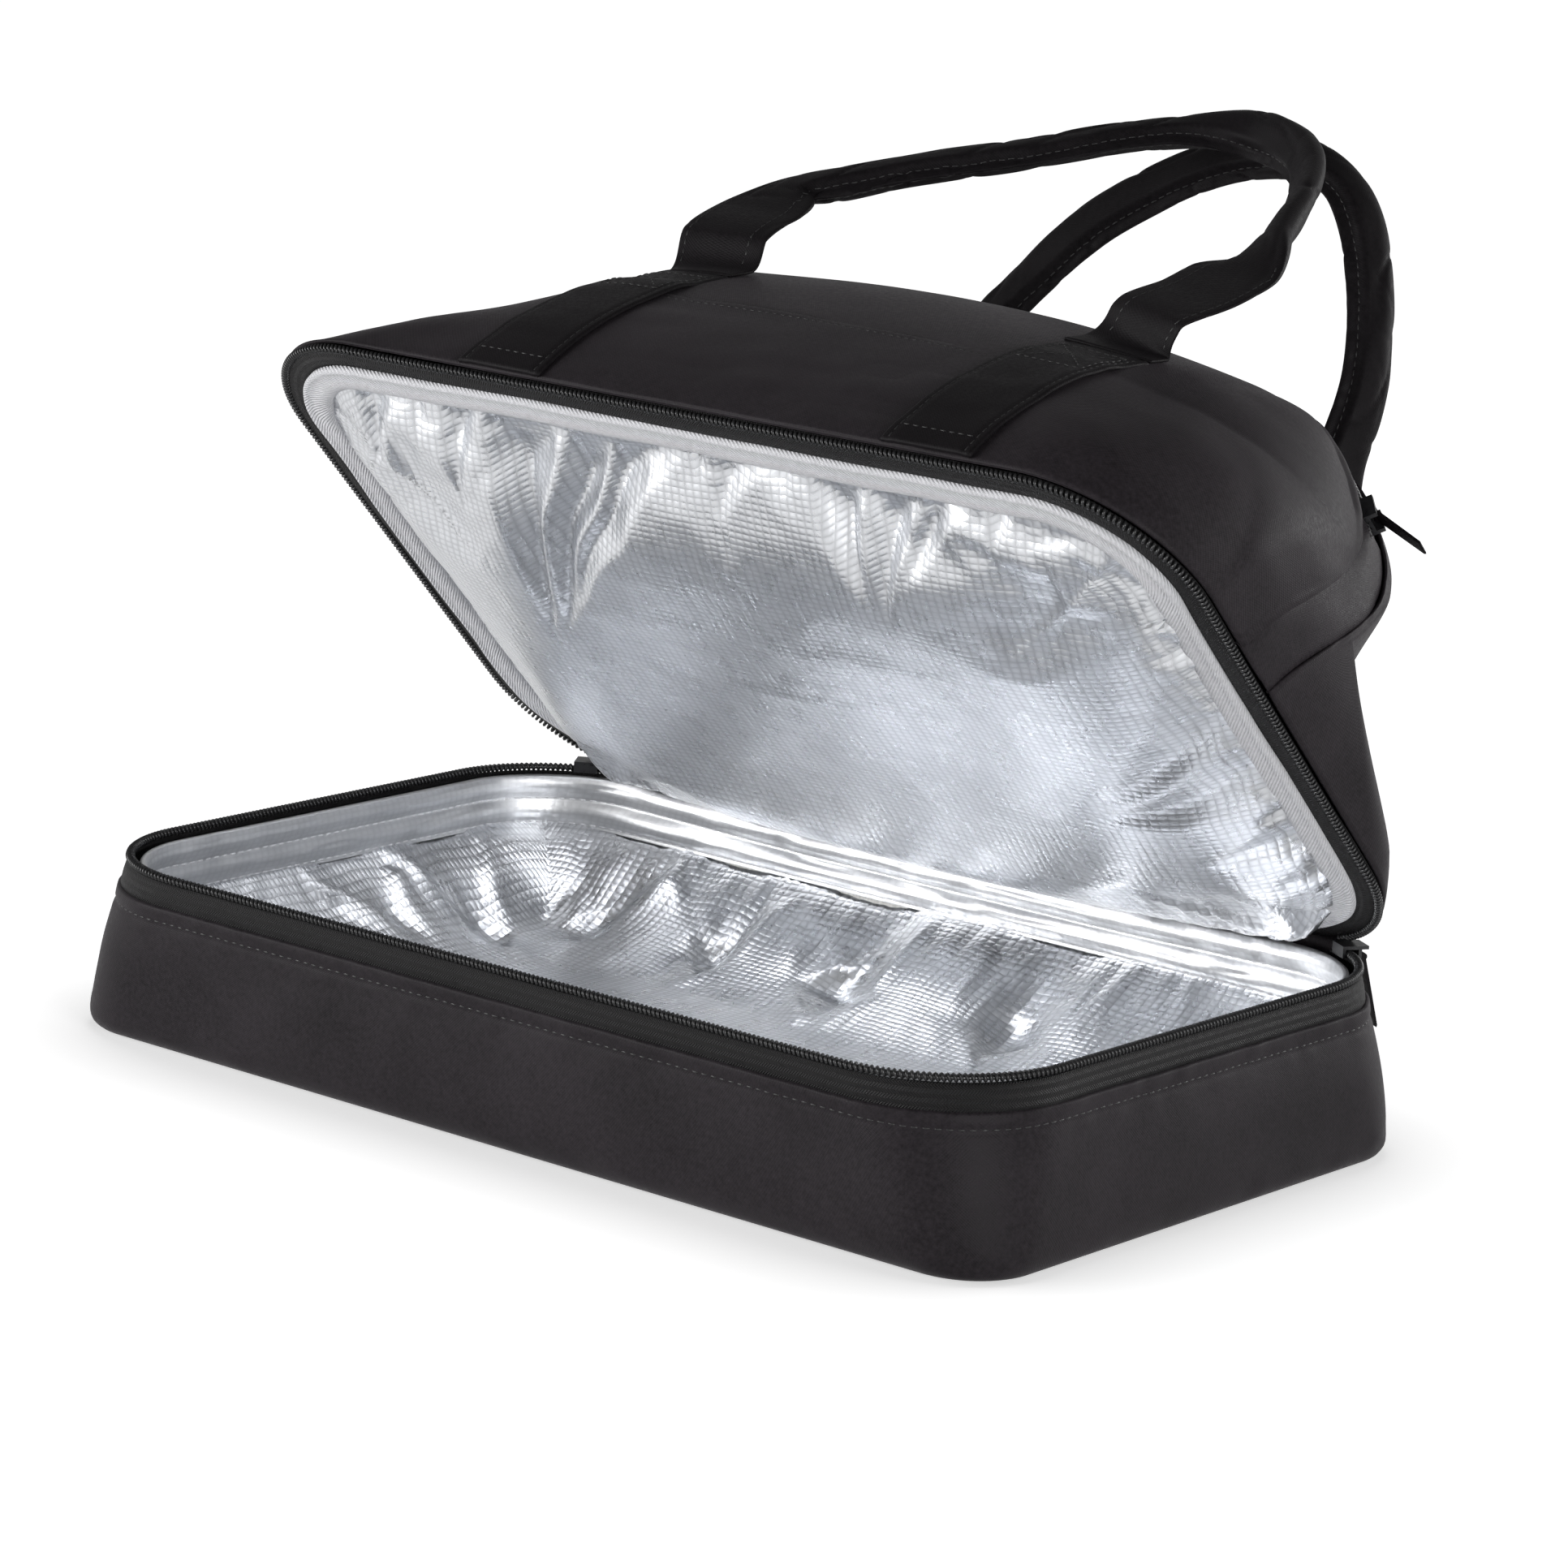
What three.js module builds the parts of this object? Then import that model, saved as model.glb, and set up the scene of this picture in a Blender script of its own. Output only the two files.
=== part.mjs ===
// Casserole carrier: an insulated tray with a hinged, zip-up upper compartment and two strap handles.
// Millimetres, +Z up, +X to the right-hand end, +Y to the hinged rear side.
// The origin is the centre of the flat underside. The compartment is shown swung open.
import * as THREE from 'three';

// Tray: the end walls lean in a little from the foot to the rim, the long walls lean out.
const footLength = 420;
const footWidth = 250;
const footCorner = 28;
const rimLength = 404;
const rimWidth = 262;
const rimCorner = 54;
const rimHeight = 66.5;
const footRound = 7;
const leastCorner = 6;

// Layers of the sewn walls and of the floor.
const gap = 0.3;
const fabric = 1.2;
const board = 2;
const floorFoam = 4;
const wallFoam = 4.5;
const foil = 1;
const floorCrown = 4;

// Main zip: the tape stands above the tray wall and its coil is the rim.
const tapeHeight = 13;
const tapeThick = 1;
const coilSize = 3;
const zipEndTurn = 26;
const lidZipEndTurn = 42;

// Hinge: the compartment turns about a line just inside the rear rim.
const hingeInset = 5;
const hingeDrop = 2.15;
const beadClear = 0.3;
const openAngle = 44.5;

// Upper compartment: its ends are single arcs, its ridge is crowned, its sides lean in to the top zip.
const bodyHeight = 142;
const crownRise = 21;
const frontFullness = 1.44;
const rearFullness = 1.22;
const endCentreHeight = 27;
const endCrest = 13;
const endRadius = bodyHeight - crownRise - endCentreHeight + endCrest;
const cornerGrowth = 0.35;
const rearCornerGrowth = 0.8;
const rearCornerPower = 1.1;
const panelThick = 1.6;

// How the soft compartment settles: the left end sinks and leans in, the right gusset's foot is drawn forward.
const slumpStart = (rimLength * 36) / 202;
const slumpEnd = (rimLength * 98) / 202;
const slump = 0.42;
const leanIn = (rimLength * 34) / 202;
const leanPower = 0.7;
const gussetDraw = 40;
const gussetDrawHeight = 86;

// Top zip and the plain gusset under each end of it.
const topTapeHalf = 12.5;
const topCoilHalf = 1.6;
const topCoilRise = 1;
const topZipEndAngle = 34;

// Underside of the compartment.
const lidTapeWidth = 7;
const bindingWidth = 11;
const bindingThick = 3;
const dividerFoam = 5;
const dividerInset = 20;
const foilBulge = 20;
const foilShoulder = 26;

// Straps, pocket and handles.
const strapWidth = 38;
const strapThick = 1.6;
const strapSpacing = (rimLength * 93.5) / 202;
const strapShift = (rimLength * 9.25) / 202;
const pocketThick = 1;
const sewnTop = 0.64;
const pocketTop = 0.48;
const gripWidth = 19;
const gripThick = 10;

// Zip sliders and their pulls.
const sliderLength = 9;
const sliderWidth = 10;
const sliderPlate = 1.2;
const sliderPlay = 0.4;
const clipPlay = 1.5;
const earHeight = 2.9;
const earThick = 1.7;
const pullLength = 26;
const pullThick = 1.4;
const pullRoot = 1.3;
const topPullLift = 29;
const mainPullLift = 15;
const mainSliderTurn = 32;

const rad = THREE.MathUtils.degToRad;
const lerp = THREE.MathUtils.lerp;
const V = (x, y, z) => new THREE.Vector3(x, y, z);

const matingZ = rimHeight + gap / 2;
const lidCoilLow = gap / 2;
const panelLow = lidCoilLow + coilSize + gap;
const wallTop = rimHeight - coilSize - gap - tapeHeight - gap;
const hinge = V(0, rimWidth / 2 - hingeInset, matingZ - hingeDrop);

const cloth = { color: 0x3a3638, roughness: 0.75, metalness: 0 };
const webbing = { color: 0x2c2a2c, roughness: 0.8, metalness: 0 };
const coilBlack = { color: 0x1b1b1d, roughness: 0.35, metalness: 0 };
const silverFoil = { color: 0xc9ccd0, roughness: 0.3, metalness: 0.9 };
const whiteTwill = { color: 0xe6e6ea, roughness: 0.8, metalness: 0 };
const paleFoam = { color: 0xd8d8d2, roughness: 0.9, metalness: 0 };
const hardboard = { color: 0x6b5a48, roughness: 0.9, metalness: 0 };
const blackMetal = { color: 0x1d1d1f, roughness: 0.4, metalness: 0.6 };

// A mesh from vertices and triangles, with its faces turned outward.
function meshOf(name, points, triangles, look) {
  let volume = 0;
  for (const [a, b, c] of triangles) {
    volume += points[a].dot(points[b].clone().cross(points[c]));
  }
  const index = triangles.flatMap(([a, b, c]) => (volume > 0 ? [a, b, c] : [a, c, b]));
  const geometry = new THREE.BufferGeometry();
  geometry.setAttribute('position', new THREE.Float32BufferAttribute(points.flatMap((p) => [p.x, p.y, p.z]), 3));
  geometry.setIndex(index);
  geometry.computeVertexNormals();
  const mesh = new THREE.Mesh(geometry, new THREE.MeshStandardMaterial(look));
  mesh.name = name;
  return mesh;
}

// Sections of equal count joined in a row. An open row gets end caps, a closed one runs round.
function loft(name, sections, look, closed = false) {
  const count = sections[0].length;
  const last = sections.length;
  const triangles = [];
  for (let i = 0; i < (closed ? last : last - 1); i++) {
    for (let k = 0; k < count; k++) {
      const a = i * count + k;
      const b = i * count + (k + 1) % count;
      const c = ((i + 1) % last) * count + (k + 1) % count;
      const d = ((i + 1) % last) * count + k;
      triangles.push([a, b, c], [a, c, d]);
    }
  }
  if (!closed) {
    const end = (last - 1) * count;
    for (let k = 0; k < count / 2 - 1; k++) {
      const [a, b, c, d] = [k, k + 1, count - 2 - k, count - 1 - k];
      triangles.push([a, c, b], [a, d, c]);
      triangles.push([end + a, end + b, end + c], [end + a, end + c, end + d]);
    }
  }
  return meshOf(name, sections.flat(), triangles, look);
}

// Outlines stacked into a solid, closed by a fan at the first and the last of them.
function stack(name, loops, look) {
  const count = loops[0].length;
  const points = loops.flat();
  const triangles = [];
  for (let i = 0; i < loops.length - 1; i++) {
    for (let k = 0; k < count; k++) {
      const a = i * count + k;
      const b = i * count + (k + 1) % count;
      triangles.push([a, b, b + count], [a, b + count, a + count]);
    }
  }
  const top = (loops.length - 1) * count;
  const middle = (loop) => loop.reduce((s, p) => s.add(p), V(0, 0, 0)).divideScalar(count);
  points.push(middle(loops[0]), middle(loops[loops.length - 1]));
  for (let k = 0; k < count; k++) {
    const next = (k + 1) % count;
    triangles.push([points.length - 2, next, k]);
    triangles.push([points.length - 1, top + k, top + next]);
  }
  return meshOf(name, points, triangles, look);
}

// A rounded rectangle as a list of stations, from the rear right corner clockwise round to the rear.
// Each station has its point, and the outward direction that insets follow.
function outline(length, width, roundness, fromTurn = 0, steps = 6) {
  const stations = [];
  const corner = Math.max(roundness, leastCorner);
  const x = length / 2 - corner;
  const y = width / 2 - corner;
  [[x, y, 90], [x, -y, 0], [-x, -y, -90], [-x, y, -180]].forEach(([cx, cy, start], quarter) => {
    const first = quarter === 0 ? fromTurn : 0;
    const final = quarter === 3 ? 90 - fromTurn : 90;
    for (let k = 0; k <= steps; k++) {
      const angle = rad(start - lerp(first, final, k / steps));
      stations.push([cx + corner * Math.cos(angle), cy + corner * Math.sin(angle)]);
    }
  });
  return stations;
}

// The tray's outline at a height, moved in by an inset.
function trayRing(z, inset, fromTurn = 0) {
  const t = z / rimHeight;
  const length = lerp(footLength, rimLength, t) - 2 * inset;
  const width = lerp(footWidth, rimWidth, t) - 2 * inset;
  const corner = lerp(footCorner, rimCorner, t) - inset;
  return outline(length, width, corner, fromTurn).map(([x, y]) => V(x, y, z));
}

// The compartment's lower outline, at a height above the plane where the two zip halves meet.
function lidRing(h, inset, fromTurn = 0) {
  const ring = outline(rimLength - 2 * inset, rimWidth - 2 * inset, rimCorner - inset, fromTurn);
  return ring.map(([x, y]) => V(x, y, matingZ + h));
}

// A band that follows rings: each ring gives one corner of the band's section.
function band(name, rings, look, closed = true) {
  const sections = rings[0].map((_, i) => rings.map((ring) => ring[i]));
  return loft(name, sections, look, closed);
}

// Tray, from the outside in.
function footProfile() {
  const rings = [];
  const steps = 3;
  for (let k = 0; k <= steps; k++) {
    const a = rad(90 * k / steps);
    rings.push(trayRing(footRound * (1 - Math.cos(a)), footRound * (1 - Math.sin(a))));
  }
  rings.push(trayRing(wallTop, 0), trayRing(wallTop, fabric));
  const inner = footRound - fabric;
  for (let k = steps; k >= 0; k--) {
    const a = rad(90 * k / steps);
    rings.push(trayRing(fabric + inner * (1 - Math.cos(a)), fabric + inner * (1 - Math.sin(a))));
  }
  return rings;
}

const boardLow = fabric + gap;
const foamLow = boardLow + board + gap;
const linerLow = foamLow + floorFoam + gap;
const wallFoamOut = fabric + gap;
const linerOut = wallFoamOut + wallFoam + gap;
const linerTop = rimHeight - coilSize - gap - 1;
const foamTop = wallTop;
const floorInset = linerOut + foil + gap;

function slab(name, low, high, inset, look) {
  return stack(name, [trayRing(low, inset), trayRing(high, inset)], look);
}

const tray = new THREE.Group();
tray.add(slab('base_bottom_panel', 0, fabric, footRound + gap, cloth));
tray.add(band('base_wall', footProfile(), cloth));
tray.add(slab('base_board', boardLow, boardLow + board, footRound - fabric + gap, hardboard));
tray.add(slab('base_floor_foam', foamLow, foamLow + floorFoam, 3, paleFoam));
tray.add(band('base_wall_foam', [
  trayRing(linerLow, wallFoamOut), trayRing(foamTop, wallFoamOut),
  trayRing(foamTop, wallFoamOut + wallFoam), trayRing(linerLow, wallFoamOut + wallFoam),
], paleFoam));
tray.add(band('base_liner_wall', [
  trayRing(linerLow, linerOut), trayRing(linerTop, linerOut),
  trayRing(linerTop, linerOut + foil), trayRing(linerLow, linerOut + foil),
], silverFoil));
tray.add(stack('base_liner_floor', [
  trayRing(linerLow, floorInset), trayRing(linerLow + foil, floorInset),
  trayRing(linerLow + foil + floorCrown * 0.7, floorInset + 12),
  trayRing(linerLow + foil + floorCrown, floorInset + 40),
], silverFoil));

const tapeLow = wallTop + gap;
const tapeTop = tapeLow + tapeHeight;
tray.add(band('base_zip_tape', [
  trayRing(tapeLow, 0, zipEndTurn), trayRing(tapeTop, 0, zipEndTurn),
  trayRing(tapeTop, tapeThick, zipEndTurn), trayRing(tapeLow, tapeThick, zipEndTurn),
], webbing, false));
tray.add(band('base_zip_coil', [
  trayRing(tapeTop + gap, 0, zipEndTurn), trayRing(rimHeight, 0, zipEndTurn),
  trayRing(rimHeight, coilSize, zipEndTurn), trayRing(tapeTop + gap, coilSize, zipEndTurn),
], coilBlack, false));

// The strip of cloth that carries the hinge: it leaves the rear wall, steps in beside the liner and
// ends in a sewn bead on the hinge line, along the straight stretch of the rear edge.
const hingeHalf = rimLength / 2 - rimCorner;
const stripFootY = trayRing(tapeLow, 0)[0].y;
const stripStep = 4;
const beadRadius = hingeDrop + lidCoilLow + gap - beadClear;
const beadTurns = [-70, -40, -10, 20, 50, 80];
function hingeSection(x) {
  const half = fabric / 2;
  const bead = (side) => beadTurns.map((q) => V(x, hinge.y + side * beadRadius * Math.cos(rad(q)),
    hinge.z + beadRadius * Math.sin(rad(q))));
  const outer = [V(x, stripFootY, tapeLow), V(x, hinge.y + half, tapeLow + stripStep), ...bead(1)];
  const inner = [V(x, stripFootY - fabric, tapeLow), V(x, hinge.y - half, tapeLow + stripStep), ...bead(-1)];
  return [...outer, ...inner.reverse()];
}
tray.add(loft('base_hinge_strip', [-hingeHalf, hingeHalf].map(hingeSection), cloth));

// Everything on the compartment is drawn closed, then turned open about the hinge line.
const lid = new THREE.Group();
const lidTurn = new THREE.Group();
lidTurn.position.copy(hinge);
lidTurn.rotation.x = -rad(openAngle);
lid.position.copy(hinge).negate();
lidTurn.add(lid);

// Compartment surface. u runs from the lower edge (0) to the ridge (1).
const endCentreX = rimLength / 2 - Math.sqrt(endRadius ** 2 - (endCentreHeight - panelLow) ** 2);
const shoulderHeight = bodyHeight - crownRise;
const endReach = (h) => endCentreX + Math.sqrt(endRadius ** 2 - (h - endCentreHeight) ** 2);
const crownHalf = endReach(shoulderHeight);
const flatHeight = (u) => bodyHeight * u - crownRise * u * u;
const crown = (u, x) => crownRise * u * u * Math.max(0, 1 - (x / crownHalf) ** 2);
const uLow = (bodyHeight - Math.sqrt(bodyHeight ** 2 - 4 * crownRise * panelLow)) / (2 * crownRise);
const uTop = 0.979;
const sideTop = topTapeHalf + 0.6;
function halfWidth(u, side) {
  const fullness = side < 0 ? frontFullness : rearFullness;
  const t = Math.min(u / uTop, 1);
  return sideTop + (rimWidth / 2 - sideTop) * (1 - t ** fullness) ** (1 / fullness);
}

const { clamp, smoothstep } = THREE.MathUtils;
function settled(p) {
  const h = p.z - matingZ;
  const rise = Math.max(h - panelLow, 0);
  const left = smoothstep(-p.x, slumpStart, slumpEnd);
  const nearEnd = smoothstep(p.x, rimLength * 0.27, rimLength * 0.44);
  const nearMiddle = clamp((rimWidth * 0.3 - Math.abs(p.y)) / (rimWidth * 0.24), 0, 1);
  const drawn = gussetDraw * (1 - smoothstep(h, 0, gussetDrawHeight)) * nearMiddle * nearEnd;
  return V(p.x + leanIn * left * (rise / bodyHeight) ** leanPower, p.y - drawn, p.z - slump * left * rise);
}

// Columns of the side panels, shared by everything sewn on them.
const strapLeft = strapShift - strapSpacing / 2;
const strapRight = strapShift + strapSpacing / 2;
const sideColumns = [
  strapRight, strapRight - strapWidth / 2, lerp(strapRight, strapLeft, 0.33), lerp(strapRight, strapLeft, 0.6),
  ...[0.5, 0.25, 0, -0.25, -0.5].map((k) => strapLeft + k * strapWidth),
];

// One row of a side panel at level u, from the right end gusset round the side to the left one.
// Side is -1 for the front panel. The rear corners cave in above the rim.
function panelRow(u, side) {
  const h = flatHeight(u);
  const a = endReach(h);
  const b = halfWidth(u, side);
  const growth = side < 0 ? cornerGrowth : rearCornerGrowth;
  const r = Math.min(rimCorner + growth * h, Math.max(b - topTapeHalf - 4, 0.5));
  const power = side < 0 ? 1 : 2 / lerp(2, rearCornerPower, smoothstep(h, panelLow, 40));
  const steps = 6;
  const arc = [];
  for (let k = 0; k <= steps; k++) {
    const t = rad(90 * k / steps);
    arc.push([a - r + r * Math.cos(t) ** power, b - r + r * Math.sin(t) ** power]);
  }
  const row = [[a, topTapeHalf], ...arc];
  row.push(...sideColumns.map((x) => [x, b]));
  row.push(...arc.map(([x, y]) => [-x, y]).reverse(), [-a, topTapeHalf]);
  return row.map(([x, y]) => settled(V(x, side * y, matingZ + h + crown(u, x))));
}

// A sheet of even thickness under a grid of surface points. Its lower edge is cut level.
function sheet(name, grid, thick, look, outwardY) {
  const rows = grid.length;
  const columns = grid[0].length;
  const at = (i, j) => grid[THREE.MathUtils.clamp(i, 0, rows - 1)][THREE.MathUtils.clamp(j, 0, columns - 1)];
  const inner = grid.map((row, i) => row.map((p, j) => {
    const along = at(i, j + 1).clone().sub(at(i, j - 1));
    const up = at(i + 1, j).clone().sub(at(i - 1, j));
    const normal = along.cross(up).normalize().multiplyScalar(outwardY);
    const below = p.clone().addScaledVector(normal, -thick);
    return i === 0 ? below.setZ(p.z) : below;
  }));
  const sections = grid[0].map((_, j) => [
    ...grid.map((row) => row[j]),
    ...inner.map((row) => row[j]).reverse(),
  ]);
  return loft(name, sections, look);
}

const spread = (from, to, steps, f) => Array.from({ length: steps + 1 }, (_, k) => f(lerp(from, to, k / steps)));
const zipAngle = rad(topZipEndAngle);
const zipEndHeight = endCentreHeight + endRadius * Math.sin(zipAngle);
const uZip = (bodyHeight - Math.sqrt(bodyHeight ** 2 - 4 * crownRise * zipEndHeight)) / (2 * crownRise);
const lowerLevels = spread(uLow, uZip, 8, (u) => u);
const upperLevels = [0, 0.3, 0.6, 0.82, 0.94, 1].map((t) => lerp(uZip, uTop, t));
const levels = [...lowerLevels, ...upperLevels.slice(1)];
const sideGrid = (side) => levels.map((u) => panelRow(u, side));
lid.add(sheet('upper_front_panel', sideGrid(-1), panelThick, cloth, -1));
lid.add(sheet('upper_rear_panel', sideGrid(1), panelThick, cloth, 1));

// Ridge line in the plane of the ends: the right-hand arc, the crown, the left-hand arc.
const arcPoint = (angle) => [endCentreX + endRadius * Math.cos(angle), endCentreHeight + endRadius * Math.sin(angle)];
const topReach = endReach(flatHeight(uTop));
const crownPoint = (x) => [x, flatHeight(uTop) + crown(uTop, x)];
const flipX = (path) => path.map(([x, h]) => [-x, h]).reverse();
const endPath = (us) => us.map((u) => [endReach(flatHeight(u)), flatHeight(u)]);
const rightGussetPath = [...endPath(lowerLevels.slice(0, -1)), arcPoint(zipAngle - gap / endRadius)];
const rightZipPath = endPath(upperLevels);
const crownPath = spread(topReach, -topReach, 12, crownPoint).slice(1, -1);
const zipPath = [...rightZipPath, ...crownPath, ...flipX(rightZipPath)];

// A ribbon over the ridge between two y values, reaching from an inner to an outer offset.
function ribbon(name, path, y0, y1, outer, inner, look) {
  const sections = path.map(([x, h], i) => {
    const [xa, ha] = path[Math.max(i - 1, 0)];
    const [xb, hb] = path[Math.min(i + 1, path.length - 1)];
    const normal = new THREE.Vector2(hb - ha, xa - xb).normalize();
    const at = (y, d) => settled(V(x + normal.x * d, y, matingZ + h + normal.y * d));
    return [at(y0, outer), at(y1, outer), at(y1, inner), at(y0, inner)];
  });
  return loft(name, sections, look);
}

const ribbonEdge = topTapeHalf - gap;
lid.add(ribbon('right_end_gusset', rightGussetPath, -ribbonEdge, ribbonEdge, 0, -panelThick, cloth));
lid.add(ribbon('left_end_gusset', flipX(rightGussetPath), -ribbonEdge, ribbonEdge, 0, -panelThick, cloth));
lid.add(ribbon('top_zip_tape_front', zipPath, -ribbonEdge, -topCoilHalf - gap, 0, -tapeThick, webbing));
lid.add(ribbon('top_zip_tape_rear', zipPath, topCoilHalf + gap, ribbonEdge, 0, -tapeThick, webbing));
lid.add(ribbon('top_zip_coil', zipPath, -topCoilHalf, topCoilHalf, topCoilRise, -tapeThick, coilBlack));

// Underside: coil and tape round the edge, the white binding, the bulging foil and the foam above it.
const lidTapeLow = lidCoilLow + gap;
const tapeInset = coilSize + gap;
const bindingInset = tapeInset + lidTapeWidth + gap;
const linerInset = bindingInset + bindingWidth + gap;
const dividerLow = panelLow + gap;
const bindingLow = dividerLow - gap - bindingThick;
lid.add(band('lid_zip_coil', [
  lidRing(lidCoilLow, 0, lidZipEndTurn), lidRing(lidCoilLow + coilSize, 0, lidZipEndTurn),
  lidRing(lidCoilLow + coilSize, coilSize, lidZipEndTurn), lidRing(lidCoilLow, coilSize, lidZipEndTurn),
], coilBlack, false));
lid.add(band('lid_zip_tape', [
  lidRing(lidTapeLow, tapeInset, lidZipEndTurn), lidRing(lidTapeLow + tapeThick, tapeInset, lidZipEndTurn),
  lidRing(lidTapeLow + tapeThick, tapeInset + lidTapeWidth, lidZipEndTurn),
  lidRing(lidTapeLow, tapeInset + lidTapeWidth, lidZipEndTurn),
], webbing, false));
lid.add(band('lid_binding', [
  lidRing(bindingLow + bindingThick, bindingInset), lidRing(bindingLow + bindingThick, bindingInset + bindingWidth),
  lidRing(bindingLow, bindingInset + bindingWidth), lidRing(bindingLow, bindingInset),
], whiteTwill));
lid.add(stack('lid_liner', [
  lidRing(dividerLow - gap, linerInset), lidRing(bindingLow, linerInset),
  lidRing(bindingLow - foilBulge * 0.55, linerInset + foilShoulder * 0.35),
  lidRing(bindingLow - foilBulge * 0.85, linerInset + foilShoulder),
  lidRing(bindingLow - foilBulge, linerInset + 2.2 * foilShoulder),
], silverFoil));
lid.add(stack('divider_foam', [
  lidRing(dividerLow, dividerInset), lidRing(dividerLow + dividerFoam, dividerInset),
], paleFoam));
const leafRear = rimWidth / 2 - hingeInset + 1.5;
const leafFront = rimWidth / 2 - bindingInset + gap;
lid.add(loft('lid_hinge_strip', [-hingeHalf, hingeHalf].map((x) => [
  V(x, leafRear, matingZ + lidTapeLow), V(x, leafRear, matingZ + panelLow),
  V(x, leafFront, matingZ + panelLow), V(x, leafFront, matingZ + lidTapeLow),
]), cloth));

// A point on a side panel's middle stretch, at an offset out from the cloth. Side is -1 at the front.
function panelPoint(u, x, d, side) {
  const e = 0.01;
  const rise = flatHeight(u + e) + crown(u + e, x) - flatHeight(u - e) - crown(u - e, x);
  const slope = V(0, halfWidth(u + e, side) - halfWidth(u - e, side), rise).normalize();
  const h = flatHeight(u) + crown(u, x) - slope.y * d;
  return settled(V(x, side * (halfWidth(u, side) + slope.z * d), matingZ + h));
}

// Flat pieces sewn on a side panel, between two x values. Lift gives the gap under them at each level.
function sewn(name, x0, x1, lift, thick, top, side, look) {
  const us = [uLow + 0.004, ...levels.filter((u) => u > uLow + 0.01 && u < top - 0.01), top];
  const columns = [x1, ...sideColumns.filter((x) => x > x0 + 1 && x < x1 - 1), x0];
  const sections = columns.map((x) => [
    ...us.map((u) => panelPoint(u, x, lift(u) + thick, side)),
    ...us.map((u) => panelPoint(u, x, lift(u), side)).reverse(),
  ]);
  return loft(name, sections, look);
}

// The front straps run over the pocket and come down to the panel above it.
const overPocket = (u) => lerp(pocketThick + 2 * gap, gap, smoothstep(u, pocketTop + 0.04, pocketTop + 0.11));
lid.add(sewn('front_pocket', strapLeft, strapRight, () => gap, pocketThick, pocketTop, -1, cloth));
for (const [side, word] of [[-1, 'front'], [1, 'rear']]) {
  const lift = side < 0 ? overPocket : () => gap;
  for (const [x, hand] of [[strapLeft, 'left'], [strapRight, 'right']]) {
    const [x0, x1] = [x - strapWidth / 2, x + strapWidth / 2];
    lid.add(sewn(`${word}_strap_${hand}`, x0, x1, lift, strapThick, sewnTop, side, webbing));
  }
}

// Handles: each strap leaves its sewn end flat, folds into a padded grip, and goes flat again.
// The free points are shares of the strap spacing, the rim's width and the compartment's height.
const rootStep = 0.024;
const leaveStep = 0.075;
const leaveLift = 1.2;
function handlePath(side, offset, points) {
  const point = (x, share) => {
    const u = sewnTop + lerp(rootStep, leaveStep, share);
    const tilt = (2 * crownRise * u * u * x) / crownHalf ** 2;
    const along = bodyHeight * (u - sewnTop - rootStep);
    return panelPoint(u, x + tilt * along, offset + leaveLift * share * lerp(share, 1, share), side);
  };
  const root = (x) => point(x, 0);
  const start = (x) => point(x, 0.5);
  const leave = (x) => point(x, 1);
  const free = points.map(([x, y, h]) => V(x * strapSpacing, y * rimWidth, matingZ + h * bodyHeight));
  return [
    root(strapLeft), start(strapLeft), leave(strapLeft), ...free,
    leave(strapRight), start(strapRight), root(strapRight),
  ];
}
const frontPath = handlePath(-1, strapThick / 2 + 3 * gap, [
  [-0.406, -0.279, 0.824], [-0.406, -0.244, 0.958], [-0.396, -0.208, 1.077], [-0.332, -0.191, 1.141],
  [-0.246, -0.16, 1.254], [-0.059, -0.107, 1.437], [0.086, -0.069, 1.585], [0.209, -0.042, 1.676],
  [0.316, -0.034, 1.697], [0.428, -0.05, 1.648], [0.529, -0.08, 1.535], [0.604, -0.126, 1.373],
  [0.652, -0.172, 1.211], [0.674, -0.21, 1.077], [0.663, -0.256, 0.908], [0.62, -0.294, 0.761],
]);
const rearPath = handlePath(1, strapThick / 2 + 3 * gap, [
  [-0.353, 0.229, 0.831], [-0.299, 0.191, 1.042], [-0.219, 0.141, 1.254], [-0.155, 0.118, 1.373],
  [-0.064, 0.088, 1.507], [0.059, 0.065, 1.627], [0.139, 0.052, 1.683], [0.241, 0.042, 1.732],
  [0.332, 0.04, 1.746], [0.417, 0.046, 1.725], [0.487, 0.057, 1.676], [0.545, 0.074, 1.592],
  [0.588, 0.095, 1.493], [0.626, 0.118, 1.373], [0.652, 0.149, 1.232], [0.652, 0.179, 1.077], [0.631, 0.214, 0.901],
]);

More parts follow.
